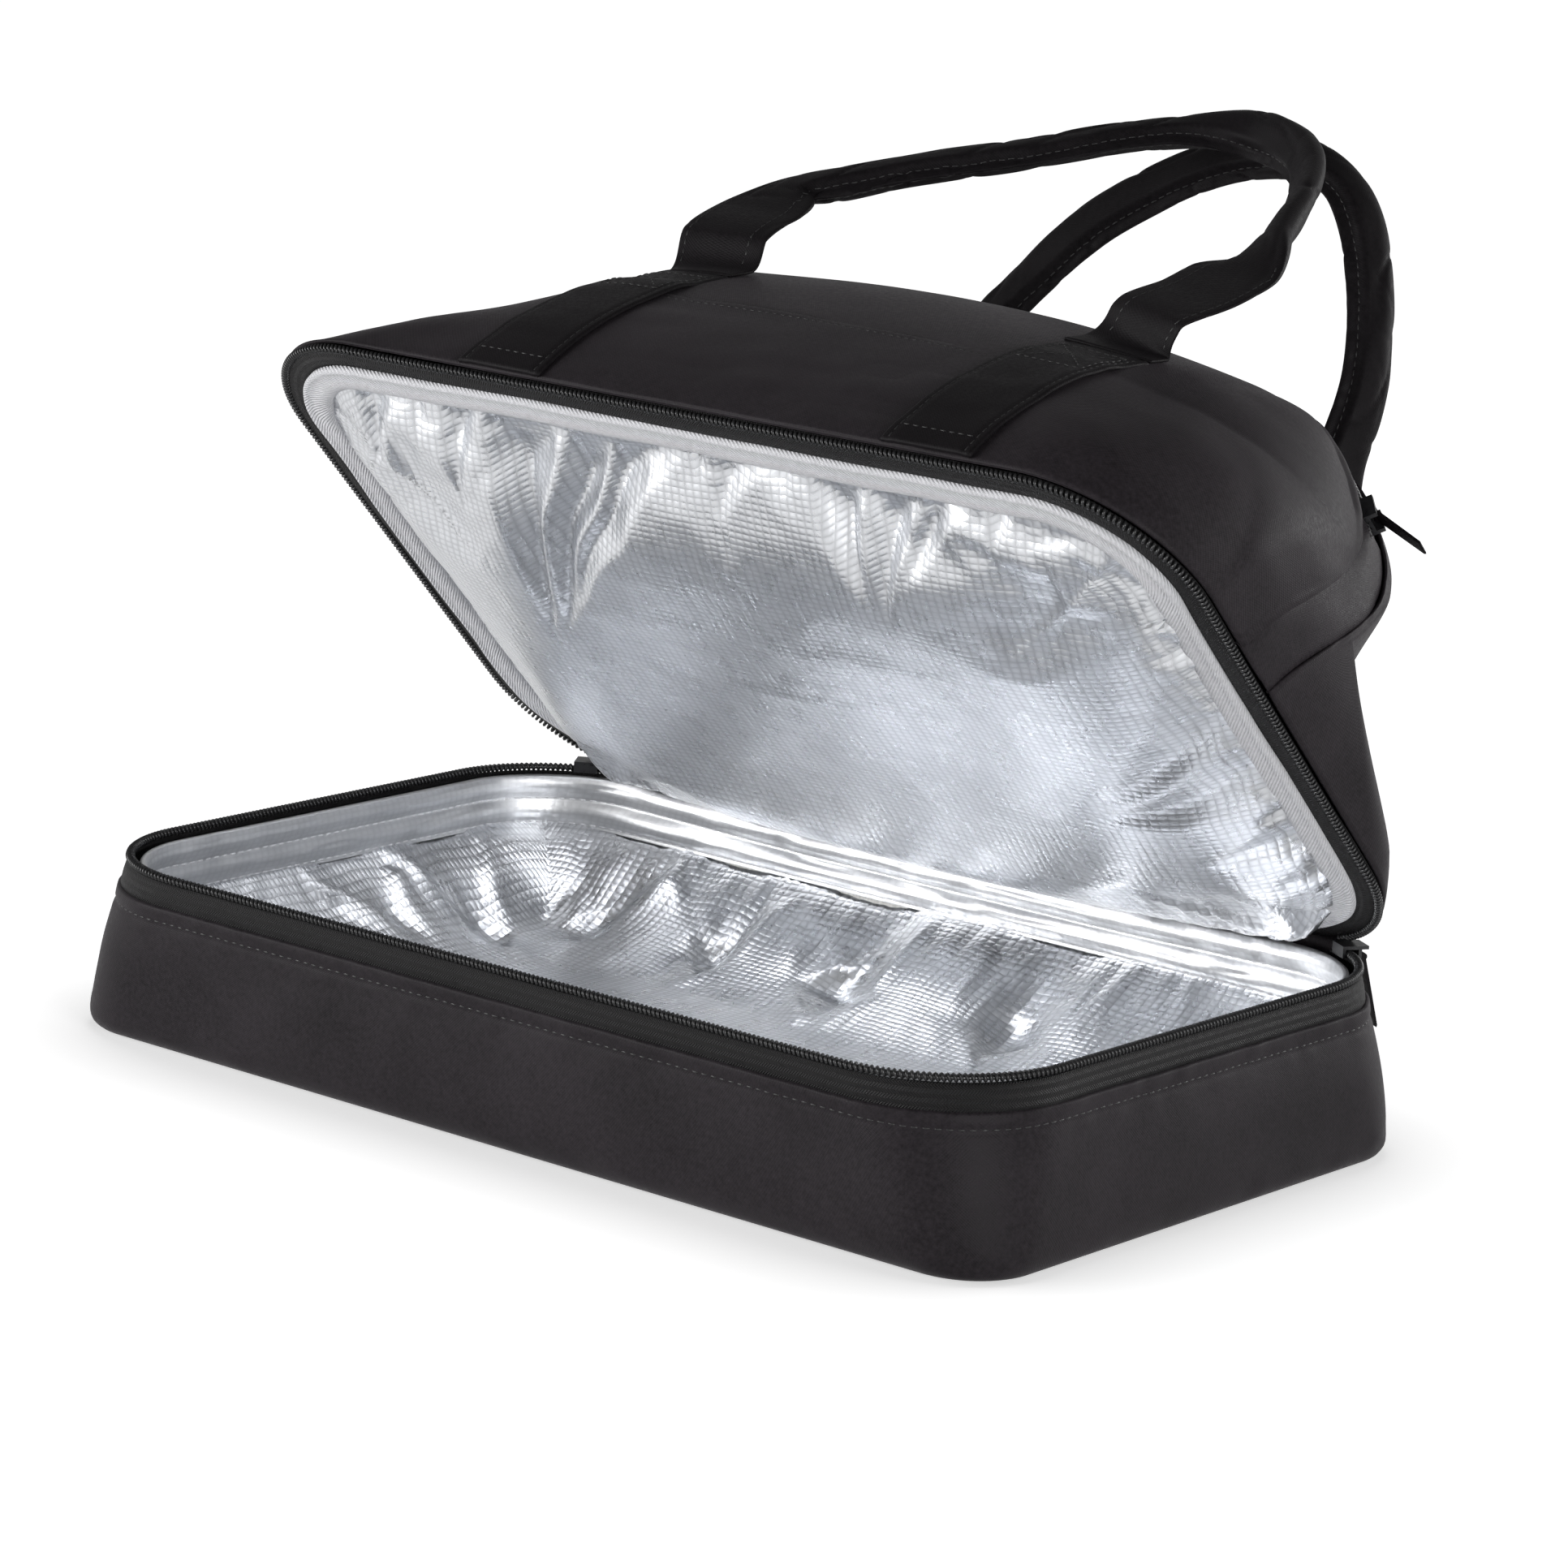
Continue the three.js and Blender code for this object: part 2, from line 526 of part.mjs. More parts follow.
// Fold gives where the strap starts and ends its fold at the left and at the right end; twist gives the
// stretch, as shares of the length, over which the grip turns edge on, and by how much.
function handle(name, path, facing, fold, twist) {
  const curve = new THREE.CatmullRomCurve3(path, false, 'centripetal');
  const steps = 56;
  const sections = [];
  for (let i = 0; i <= steps; i++) {
    const s = i / steps;
    const centre = curve.getPointAt(s);
    const along = curve.getTangentAt(s);
    const flat = facing.clone().addScaledVector(along, -facing.dot(along)).normalize();
    const turn = smoothstep(s, twist.from, twist.from + 0.12) * (1 - smoothstep(s, twist.to - 0.1, twist.to));
    const face = flat.applyAxisAngle(along, rad(twist.angle * turn));
    const across = along.clone().cross(face);
    const folded = smoothstep(s, fold.left[0], fold.left[1]) * smoothstep(1 - s, fold.right[0], fold.right[1]);
    const w = lerp(strapWidth, gripWidth, folded) / 2;
    const t = lerp(strapThick, gripThick, folded) / 2;
    const square = lerp(0.35, 0.8, folded);
    const section = [];
    for (let k = 0; k < 8; k++) {
      const q = rad(22.5 + 45 * k);
      const cx = Math.sign(Math.cos(q)) * Math.abs(Math.cos(q)) ** square;
      const cy = Math.sign(Math.sin(q)) * Math.abs(Math.sin(q)) ** square;
      section.push(centre.clone().addScaledVector(across, w * cx).addScaledVector(face, t * cy));
    }
    sections.push(section);
  }
  return loft(name, sections, webbing);
}

lid.add(handle('front_handle', frontPath, V(0, -0.89, 0.45),
  { left: [0.1, 0.18], right: [0.13, 0.21] }, { from: 0.46, to: 0.86, angle: 55 }));
lid.add(handle('rear_handle', rearPath, V(0, 0.94, 0.35),
  { left: [0.1, 0.18], right: [0.07, 0.16] }, { from: 0.5, to: 0.95, angle: -55 }));

// A prism: a profile in the (across, out) plane, extruded evenly along a direction.
function prism(name, profile, origin, across, out, length, look) {
  const along = across.clone().cross(out);
  const shape = new THREE.Shape(profile.map(([a, o]) => new THREE.Vector2(a, o)));
  const geometry = new THREE.ExtrudeGeometry(shape, { depth: length, bevelEnabled: false });
  geometry.translate(0, 0, -length / 2);
  geometry.applyMatrix4(new THREE.Matrix4().makeBasis(across, out, along).setPosition(origin));
  const mesh = new THREE.Mesh(geometry, new THREE.MeshStandardMaterial(look));
  mesh.name = name;
  return mesh;
}

// A pull's side view: a round root on the pivot and a slim tab that leans out by an angle.
function pullProfile(lift) {
  const [c, s] = [Math.cos(lift), Math.sin(lift)];
  const turn = ([a, o]) => [a * c - o * s, a * s + o * c];
  const root = spread(30, 330, 8, (q) => [pullRoot * Math.cos(rad(q)), pullRoot * Math.sin(rad(q))]);
  const half = pullThick / 2;
  return [...root, [pullLength, -half * 0.7], [pullLength + half, 0], [pullLength, half * 0.7]].map(turn);
}

// Top slider, at the right-hand end of the top zip: a channel over the coil with an ear on each side.
const topSliderAngle = zipAngle + sliderLength / endRadius;
const [sliderX, sliderH] = arcPoint(topSliderAngle);
const sliderAt = V(sliderX, 0, matingZ + sliderH);
const outward = V(Math.cos(topSliderAngle), 0, Math.sin(topSliderAngle));
const channelTop = topCoilRise + sliderPlay;
const channelHalf = topCoilHalf + sliderPlay;
const plateTop = channelTop + sliderPlate;
const earTop = plateTop + earHeight;
const earInner = sliderWidth / 2 - earThick;
lid.add(prism('top_zip_slider', [
  [-sliderWidth / 2, sliderPlay], [-channelHalf, sliderPlay], [-channelHalf, channelTop],
  [channelHalf, channelTop], [channelHalf, sliderPlay], [sliderWidth / 2, sliderPlay],
  [sliderWidth / 2, earTop], [earInner, earTop], [earInner, plateTop],
  [-earInner, plateTop], [-earInner, earTop], [-sliderWidth / 2, earTop],
], sliderAt, V(0, 1, 0), outward, sliderLength, blackMetal));
const topPullPivot = sliderAt.clone().addScaledVector(outward, plateTop + gap + pullRoot);
const downArc = V(outward.z, 0, -outward.x);
lid.add(prism('top_zip_pull', pullProfile(rad(topPullLift)), topPullPivot, downArc, outward,
  2 * (earInner - gap), webbing));

// Main sliders, parked at the rear corners: a clip over the coil with a groove for the pull's root.
const up = V(0, 0, 1);
const pullPivotOut = clipPlay + sliderPlate + gap + pullRoot;
const pullPivotDrop = 2.6;
const clipTop = rimHeight + sliderPlay + sliderPlate;
for (const [side, hand] of [[-1, 'left'], [1, 'right']]) {
  const turn = rad(mainSliderTurn);
  const radial = V(side * Math.sin(turn), Math.cos(turn), 0);
  const centre = V(side * (rimLength / 2 - rimCorner), rimWidth / 2 - rimCorner, 0);
  const at = centre.clone().addScaledVector(radial, rimCorner).setZ(rimHeight);
  const plate = clipPlay + sliderPlate;
  const lip = coilSize + sliderPlay;
  tray.add(prism(`main_zip_slider_${hand}`, [
    [plate, -coilSize - 2.2], [plate, -pullPivotDrop - pullRoot - gap], [plate, clipTop - rimHeight - sliderPlate],
    [plate + 2.6, clipTop - rimHeight - sliderPlate], [plate + 2.6, clipTop - rimHeight],
    [-lip - sliderPlate, clipTop - rimHeight], [-lip - sliderPlate, -coilSize + sliderPlay],
    [-lip, -coilSize + sliderPlay], [-lip, sliderPlay], [clipPlay, sliderPlay], [clipPlay, -coilSize - 2.2],
  ], at, radial, up, sliderLength, blackMetal));
  const pivot = at.clone().addScaledVector(radial, pullPivotOut).addScaledVector(up, -pullPivotDrop);
  tray.add(prism(`main_zip_pull_${hand}`, pullProfile(rad(mainPullLift)), pivot,
    up.clone().negate(), radial, 2 * (earInner - gap), webbing));
}

const carrier = new THREE.Group();
carrier.add(tray, lidTurn);
export default carrier;
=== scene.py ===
import math

import bpy
import numpy as np
from mathutils import Matrix, Vector


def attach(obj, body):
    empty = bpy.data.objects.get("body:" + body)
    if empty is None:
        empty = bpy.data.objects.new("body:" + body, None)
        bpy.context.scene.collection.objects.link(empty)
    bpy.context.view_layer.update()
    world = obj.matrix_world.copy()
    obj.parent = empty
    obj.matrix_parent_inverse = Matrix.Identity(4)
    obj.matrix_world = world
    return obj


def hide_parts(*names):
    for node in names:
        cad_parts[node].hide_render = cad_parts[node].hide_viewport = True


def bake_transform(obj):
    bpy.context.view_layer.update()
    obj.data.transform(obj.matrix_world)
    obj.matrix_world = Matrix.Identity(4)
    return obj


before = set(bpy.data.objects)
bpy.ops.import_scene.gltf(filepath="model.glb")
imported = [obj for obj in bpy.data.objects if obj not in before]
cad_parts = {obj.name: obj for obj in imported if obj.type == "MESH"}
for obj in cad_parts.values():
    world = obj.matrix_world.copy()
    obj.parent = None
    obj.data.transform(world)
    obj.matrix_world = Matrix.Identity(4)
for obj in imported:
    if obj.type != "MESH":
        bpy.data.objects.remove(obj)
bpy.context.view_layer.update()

scene = bpy.context.scene
MM, PER_M = 0.001, 1000.0

# Sizes shared with the CAD parts in model.glb, in millimetres. Pairs keyed by side have the front at -1, the
# rear at 1.
FOOT = (420.0, 250.0, 28.0)
RIM = (404.0, 262.0, 54.0)
RIM_Z = 66.5
WALL_TOP = 49.9
HINGE_Y, HINGE_Z, MATING_Z = 126.0, 64.5, 66.65
OPEN = math.radians(44.5)
BODY_H, CROWN = 142.0, 21.0
FULL = {-1: 1.44, 1: 1.22}
END_R, END_H = 107.0, 27.0
GROW = {-1: 0.35, 1: 0.8}
REAR_POWER = 1.1
PANEL_LOW = 3.45
U_TOP, SIDE_TOP = 0.979, 13.1
TAPE_HALF = 12.5
ZIP_ANGLE = math.radians(34)
SLUMP_FROM, SLUMP_TO, SLUMP = 72.0, 196.0, 0.42
LEAN, LEAN_POWER = 68.0, 0.7
DRAW, DRAW_H = 40.0, 86.0
STRAP_W, STRAP_LEFT, STRAP_RIGHT = 38.0, -75.0, 112.0
STRAP_GAP = STRAP_RIGHT - STRAP_LEFT
SEWN_TOP, POCKET_TOP = 0.64, 0.48
ROOT_STEP, LEAVE_STEP = 0.024, 0.075

# Sizes of what only shows here, in millimetres.
RING_LONG, RING_SHORT, RING_CORNER = 96, 60, 24
WEAVE, FOIL_CELL = 0.55, (3.3, 2.3)
FOOT_R, WALL_SEAM_Z, WALL_FOLD = 7, 48.6, 1.1
HEM_SEAMS = (53.5, 43.5)
LINING_TOP, LINING_FLOOR, FOAM_FACE = 43.6, 11.5, 8.6
PILLOW_INSET, PILLOW_BULGE = 19.5, 23.0
TAPE_COLUMNS = 760
COIL_SIZE = (1.9, 1.15, 1.05, 0.62)
STRAP_THICK, POCKET_THICK = 1.6, 1.0
GRIP_W, GRIP_THICK = 19.0, 10.5


def clamp01(t):
    return np.clip(t, 0.0, 1.0)


def smooth(t, a, b):
    t = clamp01((np.asarray(t, float) - a) / (b - a))
    return t * t * (3 - 2 * t)


def lerp(a, b, t):
    return a + (b - a) * t


def hump(t, a, b, c, d):
    """Rises from a to b and falls again from c to d."""
    return smooth(t, a, b) * (1 - smooth(t, c, d))


def bell(t, middle, width):
    return np.exp(-((t - middle) / width) ** 2)


def unit(v):
    return v / np.maximum(np.linalg.norm(v, axis=-1, keepdims=True), 1e-9)


def xyz(x, y, z):
    return np.stack(np.broadcast_arrays(x, y, z), -1)


def closed(points):
    """A ring with its first point again at the end."""
    return np.concatenate([points, points[:1]])


def noise(x, y, seed):
    """Smooth value noise from -1 to 1."""
    x, y = np.broadcast_arrays(np.asarray(x, float), np.asarray(y, float))
    ix, iy = np.floor(x).astype(np.int64), np.floor(y).astype(np.int64)

    def ease(f):
        return f ** 3 * (f * (6 * f - 15) + 10)

    def corner(i, j):
        n = (i * 374761393 + j * 668265263 + seed * 974634721) & 0x7FFFFFFF
        n = ((n ^ (n >> 13)) * 1274126177) & 0x7FFFFFFF
        n = ((n ^ (n >> 15)) * 668265263) & 0x7FFFFFFF
        return ((n ^ (n >> 16)) & 0xFFFF) / 32767.5 - 1.0

    fx, fy = ease(x - ix), ease(y - iy)
    low = lerp(corner(ix, iy), corner(ix + 1, iy), fx)
    high = lerp(corner(ix, iy + 1), corner(ix + 1, iy + 1), fx)
    return lerp(low, high, fy)


def folds(x, y, seed):
    """Sharp-crested noise, from 0 in the hollows to 1 on the crests."""
    return 1.0 - np.abs(noise(x, y, seed))


def lid_to_world(p):
    """Points drawn with the compartment closed (x, y, height over the zip plane) to where they rest, open."""
    p = np.asarray(p, float)
    y = p[..., 1] - HINGE_Y
    z = p[..., 2] + MATING_Z - HINGE_Z
    c, s = math.cos(OPEN), math.sin(OPEN)
    return xyz(p[..., 0], HINGE_Y + y * c + z * s, HINGE_Z - y * s + z * c)


# Meshes.

def make(name, verts, faces, material, uvs=None):
    """A mesh object from millimetre points. uvs has one pair for each corner of each face, in millimetres."""
    mesh = bpy.data.meshes.new(name)
    mesh.from_pydata([tuple(v) for v in np.asarray(verts) * MM], [], [tuple(f) for f in faces])
    if uvs is not None:
        layer = mesh.uv_layers.new(name="UVMap")
        layer.data.foreach_set("uv", (np.asarray(uvs, float) * MM).astype(np.float32).ravel())
    mesh.polygons.foreach_set("use_smooth", np.ones(len(mesh.polygons), bool))
    mesh.materials.append(material)
    mesh.update()
    obj = bpy.data.objects.new(name, mesh)
    scene.collection.objects.link(obj)
    return obj


def grid_faces(rows, cols, wrap=False, flip=False):
    i, j = np.meshgrid(np.arange(rows - 1), np.arange(cols if wrap else cols - 1), indexing="ij")
    k = (j + 1) % cols
    quads = np.stack([i * cols + j, i * cols + k, (i + 1) * cols + k, (i + 1) * cols + j], -1).reshape(-1, 4)
    return quads[:, ::-1] if flip else quads


def grid_uvs(uv, flip=False):
    """One pair for each corner of a grid's faces. uv has a column more than the points where it wraps."""
    q = np.stack([uv[:-1, :-1], uv[:-1, 1:], uv[1:, 1:], uv[1:, :-1]], -2).reshape(-1, 4, 2)
    return (q[:, ::-1] if flip else q).reshape(-1, 2)


def lengths(grid, wrap=False):
    """Distances along the columns and rows of a grid, as millimetre texture coordinates."""
    g = np.concatenate([grid, grid[:, :1]], 1) if wrap else grid
    du = np.linalg.norm(np.diff(g, axis=1), axis=-1).mean(0)
    dv = np.linalg.norm(np.diff(g, axis=0), axis=-1).mean(1)
    u = np.concatenate([[0], np.cumsum(du)])
    v = np.concatenate([[0], np.cumsum(dv)])
    return np.stack(np.meshgrid(u, v), -1)


def sheet(name, grid, material, thick=0.0, wrap=False, flip=False, uv=None):
    uv = lengths(grid, wrap) if uv is None else uv
    rows, cols = grid.shape[:2]
    obj = make(name, grid.reshape(-1, 3), grid_faces(rows, cols, wrap, flip), material, grid_uvs(uv, flip))
    if thick:
        solid = obj.modifiers.new("thickness", "SOLIDIFY")
        solid.thickness = thick * MM
        solid.offset = -1
        solid.use_even_offset = False
    return obj


def tube(name, sections, material, caps=True):
    """Closed cross-sections (n, k, 3) joined along a run."""
    n, k = sections.shape[:2]
    faces = [tuple(f) for f in grid_faces(n, k, True)]
    uvs = list(grid_uvs(lengths(sections, True)))
    if caps:
        faces.append(tuple(range(k))[::-1])
        faces.append(tuple(range((n - 1) * k, n * k)))
        uvs += [(0.0, 0.0)] * (2 * k)
    return make(name, sections.reshape(-1, 3), faces, material, uvs)


# Outlines.

def ring(length, width, corner):
    """A rounded rectangle from the middle of its rear side, towards +x: points and outward directions."""
    corner = max(corner, 1.0)
    x, y = length / 2 - corner, width / 2 - corner
    centres = [(0, y), (x, y), (x, -y), (-x, -y), (-x, y), (0, y)]
    counts = [RING_LONG // 2, RING_SHORT, RING_LONG, RING_SHORT, RING_LONG // 2]
    pts, out = [], []
    for k, n in enumerate(counts):
        (ax, ay), (bx, by) = centres[k:k + 2]
        d = [(0, 1), (1, 0), (0, -1), (-1, 0)][k % 4]
        for t in range(n):
            pts.append((lerp(ax, bx, t / n) + corner * d[0], lerp(ay, by, t / n) + corner * d[1]))
            out.append(d)
        for t in range(RING_CORNER if k < 4 else 0):
            a = math.radians(90 - 90 * k - 90 * t / RING_CORNER)
            pts.append((bx + corner * math.cos(a), by + corner * math.sin(a)))
            out.append((math.cos(a), math.sin(a)))
    return np.array(pts), np.array(out, float)


def outline(size, inset, z):
    p, d = ring(size[0] - 2 * inset, size[1] - 2 * inset, size[2] - inset)
    return xyz(*p.T, z), xyz(*d.T, 0.0)


def tray_ring(z, inset):
    return outline([lerp(a, b, z / RIM_Z) for a, b in zip(FOOT, RIM)], inset, z)


def lid_ring(h, inset):
    return outline(RIM, inset, h)


class Run:
    """A polyline with a frame: at(s) gives the point, the way along and the way out at a length."""

    def __init__(self, points, out):
        self.p, self.o = np.asarray(points, float), np.asarray(out, float)
        self.s = np.concatenate([[0], np.cumsum(np.linalg.norm(np.diff(self.p, axis=0), axis=1))])
        self.length = self.s[-1]

    def mix(self, a, s):
        return np.stack([np.interp(s, self.s, a[:, k]) for k in range(3)], -1)

    def at(self, s):
        s = np.asarray(s, float)
        p, o = self.mix(self.p, s), self.mix(self.o, s)
        ahead, behind = np.clip(s + 0.6, 0, self.length), np.clip(s - 0.6, 0, self.length)
        t = unit(self.mix(self.p, ahead) - self.mix(self.p, behind))
        return p, t, unit(o - t * (o * t).sum(-1, keepdims=True))


def zip_part(points, out, turn):
    """The front and ends of a rim, leaving the hinged rear out beyond a turn round the rear corners."""
    whole = Run(closed(points), closed(out))
    first = RIM[0] / 2 - RIM[2] + RIM[2] * math.radians(turn)
    last = whole.length - first
    p, _, o = whole.at(np.linspace(first, last, int((last - first) / 1.5)))
    return Run(p, o)


# Materials.

class Net:
    """Strings shader nodes together."""

    def __init__(self, tree):
        self.nodes, self.link = tree.nodes, tree.links.new

    def feed(self, socket, value):
        if isinstance(value, bpy.types.NodeSocket):
            self.link(value, socket)
        else:
            socket.default_value = value

    def node(self, kind, **inputs):
        n = self.nodes.new(kind)
        for key, value in inputs.items():
            self.feed(n.inputs[key], value)
        return n

    def math(self, op, *values):
        n = self.nodes.new("ShaderNodeMath")
        n.operation = op
        for socket, value in zip(n.inputs, values):
            self.feed(socket, value)
        return n.outputs[0]

    def mul(self, a, b):
        return self.math("MULTIPLY", a, b)

    def sine(self, a, per_unit):
        return self.math("SINE", self.mul(a, per_unit))

    def mix(self, a, b, share):
        return self.math("ADD", self.mul(a, self.math("SUBTRACT", 1.0, share)), self.mul(b, share))

    def uv(self):
        n = self.nodes.new("ShaderNodeUVMap")
        n.uv_map = "UVMap"
        s = self.node("ShaderNodeSeparateXYZ", Vector=n.outputs[0])
        return s.outputs[0], s.outputs[1]

    def place(self):
        return self.nodes.new("ShaderNodeTexCoord").outputs["Object"]

    def noise(self, vector, scale, detail, rough):
        n = self.node("ShaderNodeTexNoise", Vector=vector, Scale=scale, Detail=detail, Roughness=rough)
        return n.outputs["Fac"]

    def ramp(self, fac, stops):
        """A colour ramp. Each stop is a position and a colour or a grey level."""
        n = self.nodes.new("ShaderNodeValToRGB")
        self.link(fac, n.inputs[0])
        e = n.color_ramp.elements
        while len(e) < len(stops):
            e.new(0.5)
        for k, (pos, col) in enumerate(stops):
            e[k].position = pos
            e[k].color = (*col, 1) if hasattr(col, "__len__") else (col, col, col, 1)
        return n.outputs[0]


def times(color, k):
    return tuple(min(1, c * k) for c in color)


class Skin(Net):
    """A material: plain values, then colour, roughness and relief driven by nodes."""

    def __init__(self, name, color, roughness, metallic=0.0, specular=0.5, sheen=0.0, sheen_tint=(1, 1, 1)):
        self.mat = bpy.data.materials.new(name)
        self.mat.use_nodes = True
        super().__init__(self.mat.node_tree)
        self.color, self.roughness = color, roughness
        self.inputs = self.nodes["Principled BSDF"].inputs
        plain = {
            "Base Color": (*color, 1), "Roughness": roughness, "Metallic": metallic, "Sheen Weight": sheen,
            "Specular IOR Level": specular, "Sheen Roughness": 0.4, "Sheen Tint": (*sheen_tint, 1),
        }
        for key, value in plain.items():
            self.inputs[key].default_value = value

    def tint(self, fac, *stops):
        """Stops are a position and a share of the plain colour."""
        self.link(self.ramp(fac, [(at, times(self.color, k)) for at, k in stops]), self.inputs["Base Color"])

    def polish(self, fac, *stops):
        """Stops are a position and a step from the plain roughness."""
        self.link(self.ramp(fac, [(at, self.roughness + k) for at, k in stops]), self.inputs["Roughness"])

    def relief(self, *bumps):
        """Bumps are a height, a strength and a distance, each over the one before."""
        normal = None
        for height, strength, distance in bumps:
            bump = self.node("ShaderNodeBump", Strength=strength, Distance=distance, Height=height)
            if normal is not None:
                self.link(normal, bump.inputs["Normal"])
            normal = bump.outputs[0]
        self.link(normal, self.inputs["Normal"])
        return self.mat


def cloth_material(name, color, roughness=0.5, sheen=0.04):
    """Satin woven polyester: fine over-and-under weave, mottled colour and a soft sheen."""
    skin = Skin(name, color, roughness, 0.0, 0.09, sheen, (0.8, 0.72, 0.79))
    weave = skin.mul(*(skin.sine(way, math.pi / (WEAVE * MM)) for way in skin.uv()))
    place = skin.place()
    mottle = skin.noise(place, 620.0, 2.0, 0.6)
    cloud = skin.noise(place, 22.0, 3.0, 0.55)
    skin.tint(skin.math("MULTIPLY_ADD", mottle, 0.55, skin.mul(cloud, 0.45)), (0.3, 0.5), (0.72, 1.6))
    skin.polish(mottle, (0.3, -0.07), (0.75, 0.1))
    return skin.relief((cloud, 0.25, 0.0012), (mottle, 0.18, 0.0003), (weave, 0.25, 0.00012))


def herringbone_material(name, color, rib_mm, zig_mm):
    """Zip tape: slanting ribs whose lean flips from one narrow stripe to the next."""
    skin = Skin(name, color, 0.6, specular=0.25)
    u, v = skin.uv()
    zig = skin.math("PINGPONG", skin.mul(v, PER_M), zig_mm)
    rib = skin.sine(skin.math("ADD", skin.mul(u, PER_M), zig), 2 * math.pi / rib_mm)
    mottle = skin.noise(skin.place(), 700.0, 2.0, 0.6)
    skin.tint(skin.math("MULTIPLY_ADD", rib, 0.3, skin.mul(mottle, 0.9)), (0.15, 0.45), (0.85, 1.7))
    skin.polish(mottle, (0.3, -0.1), (0.7, 0.08))
    return skin.relief((rib, 0.7, 0.00022))


def foil_material(name, color, emboss, crumple, roughness, painted_groove_shade):
    """Metallised film: small pressed rectangles, and a fine crumple under them where it is asked for. Its
    colour darkens along the pressed lines: painted shade in the grooves, with the middles of the cells
    lighter.
    """
    skin = Skin(name, color, roughness, metallic=1.0)
    waves = (skin.sine(way, math.pi / (size * MM)) for way, size in zip(skin.uv(), FOIL_CELL))
    press = skin.mul(*(skin.math("POWER", skin.math("ABSOLUTE", wave), 0.7) for wave in waves))
    place = skin.place()
    tone = skin.noise(place, 60.0, 4.0, 0.6)
    # Painted shade: the colour darkens in the pressed lines between the cells, by the share the last argument
    # gives.
    skin.tint(skin.math("MULTIPLY_ADD", press, painted_groove_shade, skin.mul(tone, 0.3)), (0.1, 0.72), (0.45, 1.0))
    skin.polish(skin.noise(place, 140.0, 3.0, 0.6), (0.3, -0.04), (0.75, 0.07))
    bumps = []
    if crumple:
        cells = skin.node("ShaderNodeTexVoronoi", Vector=place, Scale=95.0)
        cells.feature = "DISTANCE_TO_EDGE"
        edge = skin.ramp(cells.outputs["Distance"], [(0.0, 1.0), (0.35, 0.0)])
        bumps = [(edge, crumple, 0.0008), (skin.noise(place, 120.0, 5.0, 0.6), crumple, 0.0016)]
    return skin.relief(*bumps, (press, emboss, 0.0005))


def twill_material(name, color, rib_mm):
    """Binding tape with a slanting rib."""
    skin = Skin(name, color, 0.75, specular=0.3, sheen=0.15)
    u, v = skin.uv()
    rib = skin.sine(skin.math("ADD", u, skin.mul(v, 0.7)), 2 * math.pi / (rib_mm * MM))
    mottle = skin.noise(skin.place(), 500.0, 3.0, 0.6)
    skin.tint(skin.math("MULTIPLY_ADD", rib, 0.18, skin.mul(mottle, 0.9)), (0.2, 0.8), (0.6, 1.0))
    return skin.relief((rib, 0.55, 0.0003))


def plain_material(name, color, roughness, metallic=0.0, grain=400.0, strength=0.15):
    skin = Skin(name, color, roughness, metallic)
    fine = skin.noise(skin.place(), grain, 3.0, 0.6)
    skin.tint(fine, (0.3, 0.8), (0.7, 1.2))
    skin.polish(fine, (0.3, -0.08), (0.7, 0.1))
    return skin.relief((fine, strength, 0.0002))


BLACK = (0.021, 0.0178, 0.0205)
cloth = cloth_material("black_polyester", BLACK)
# The straps, handles and pulls take a copy of the black cloth at about a third of its colour and with almost
# no sheen: painted shade, for cloth seen at a steep angle under little light from above.
strap_cloth_painted_shade = cloth_material("strap_cloth_painted_shade", times(BLACK, 0.36), 0.55, 0.01)
tape = herringbone_material("zip_tape_weave", (0.009, 0.0085, 0.009), 1.05, 1.5)
coil_plastic = plain_material("coil_nylon", (0.014, 0.014, 0.015), 0.3, grain=900.0, strength=0.05)
# The last number of each foil darkens its pressed lines: painted shade, strong on the lining and pillow foil,
# light on the hem.
foil = foil_material("embossed_foil", (0.83, 0.845, 0.875), 0.24, 0.0, 0.28, 0.36)
hem_foil = foil_material("hem_foil", (0.89, 0.9, 0.92), 0.08, 0.08, 0.42, 0.1)
binding_twill = twill_material("white_twill", (0.78, 0.78, 0.81), 1.3)
black_thread = plain_material("black_thread", (0.012, 0.0115, 0.012), 0.45, grain=1500.0)
white_thread = plain_material("white_thread", (0.8, 0.8, 0.83), 0.6, grain=1500.0)
enamel = plain_material("slider_enamel", (0.022, 0.022, 0.024), 0.33, 0.3, 600.0, 0.08)
foam_skin = plain_material("closed_cell_foam", (0.7, 0.7, 0.68), 0.85, grain=700.0, strength=0.3)
board_grain = plain_material("stiffener_board", (0.2, 0.2, 0.2), 0.8, grain=300.0)


def settle(obj, body, replaced=()):
    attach(obj, body)
    if replaced:
        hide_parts(*replaced)
    return obj


# Sewing.

STITCH = np.array([(-0.5, 0.0), (-0.42, 0.75), (-0.15, 1.0), (0.15, 1.0), (0.42, 0.75), (0.5, 0.0)])
STITCH_SINK = np.array([-1.2, -0.3, -0.3, -0.3, -0.3, -1.2])
STITCH_SIDES = 6


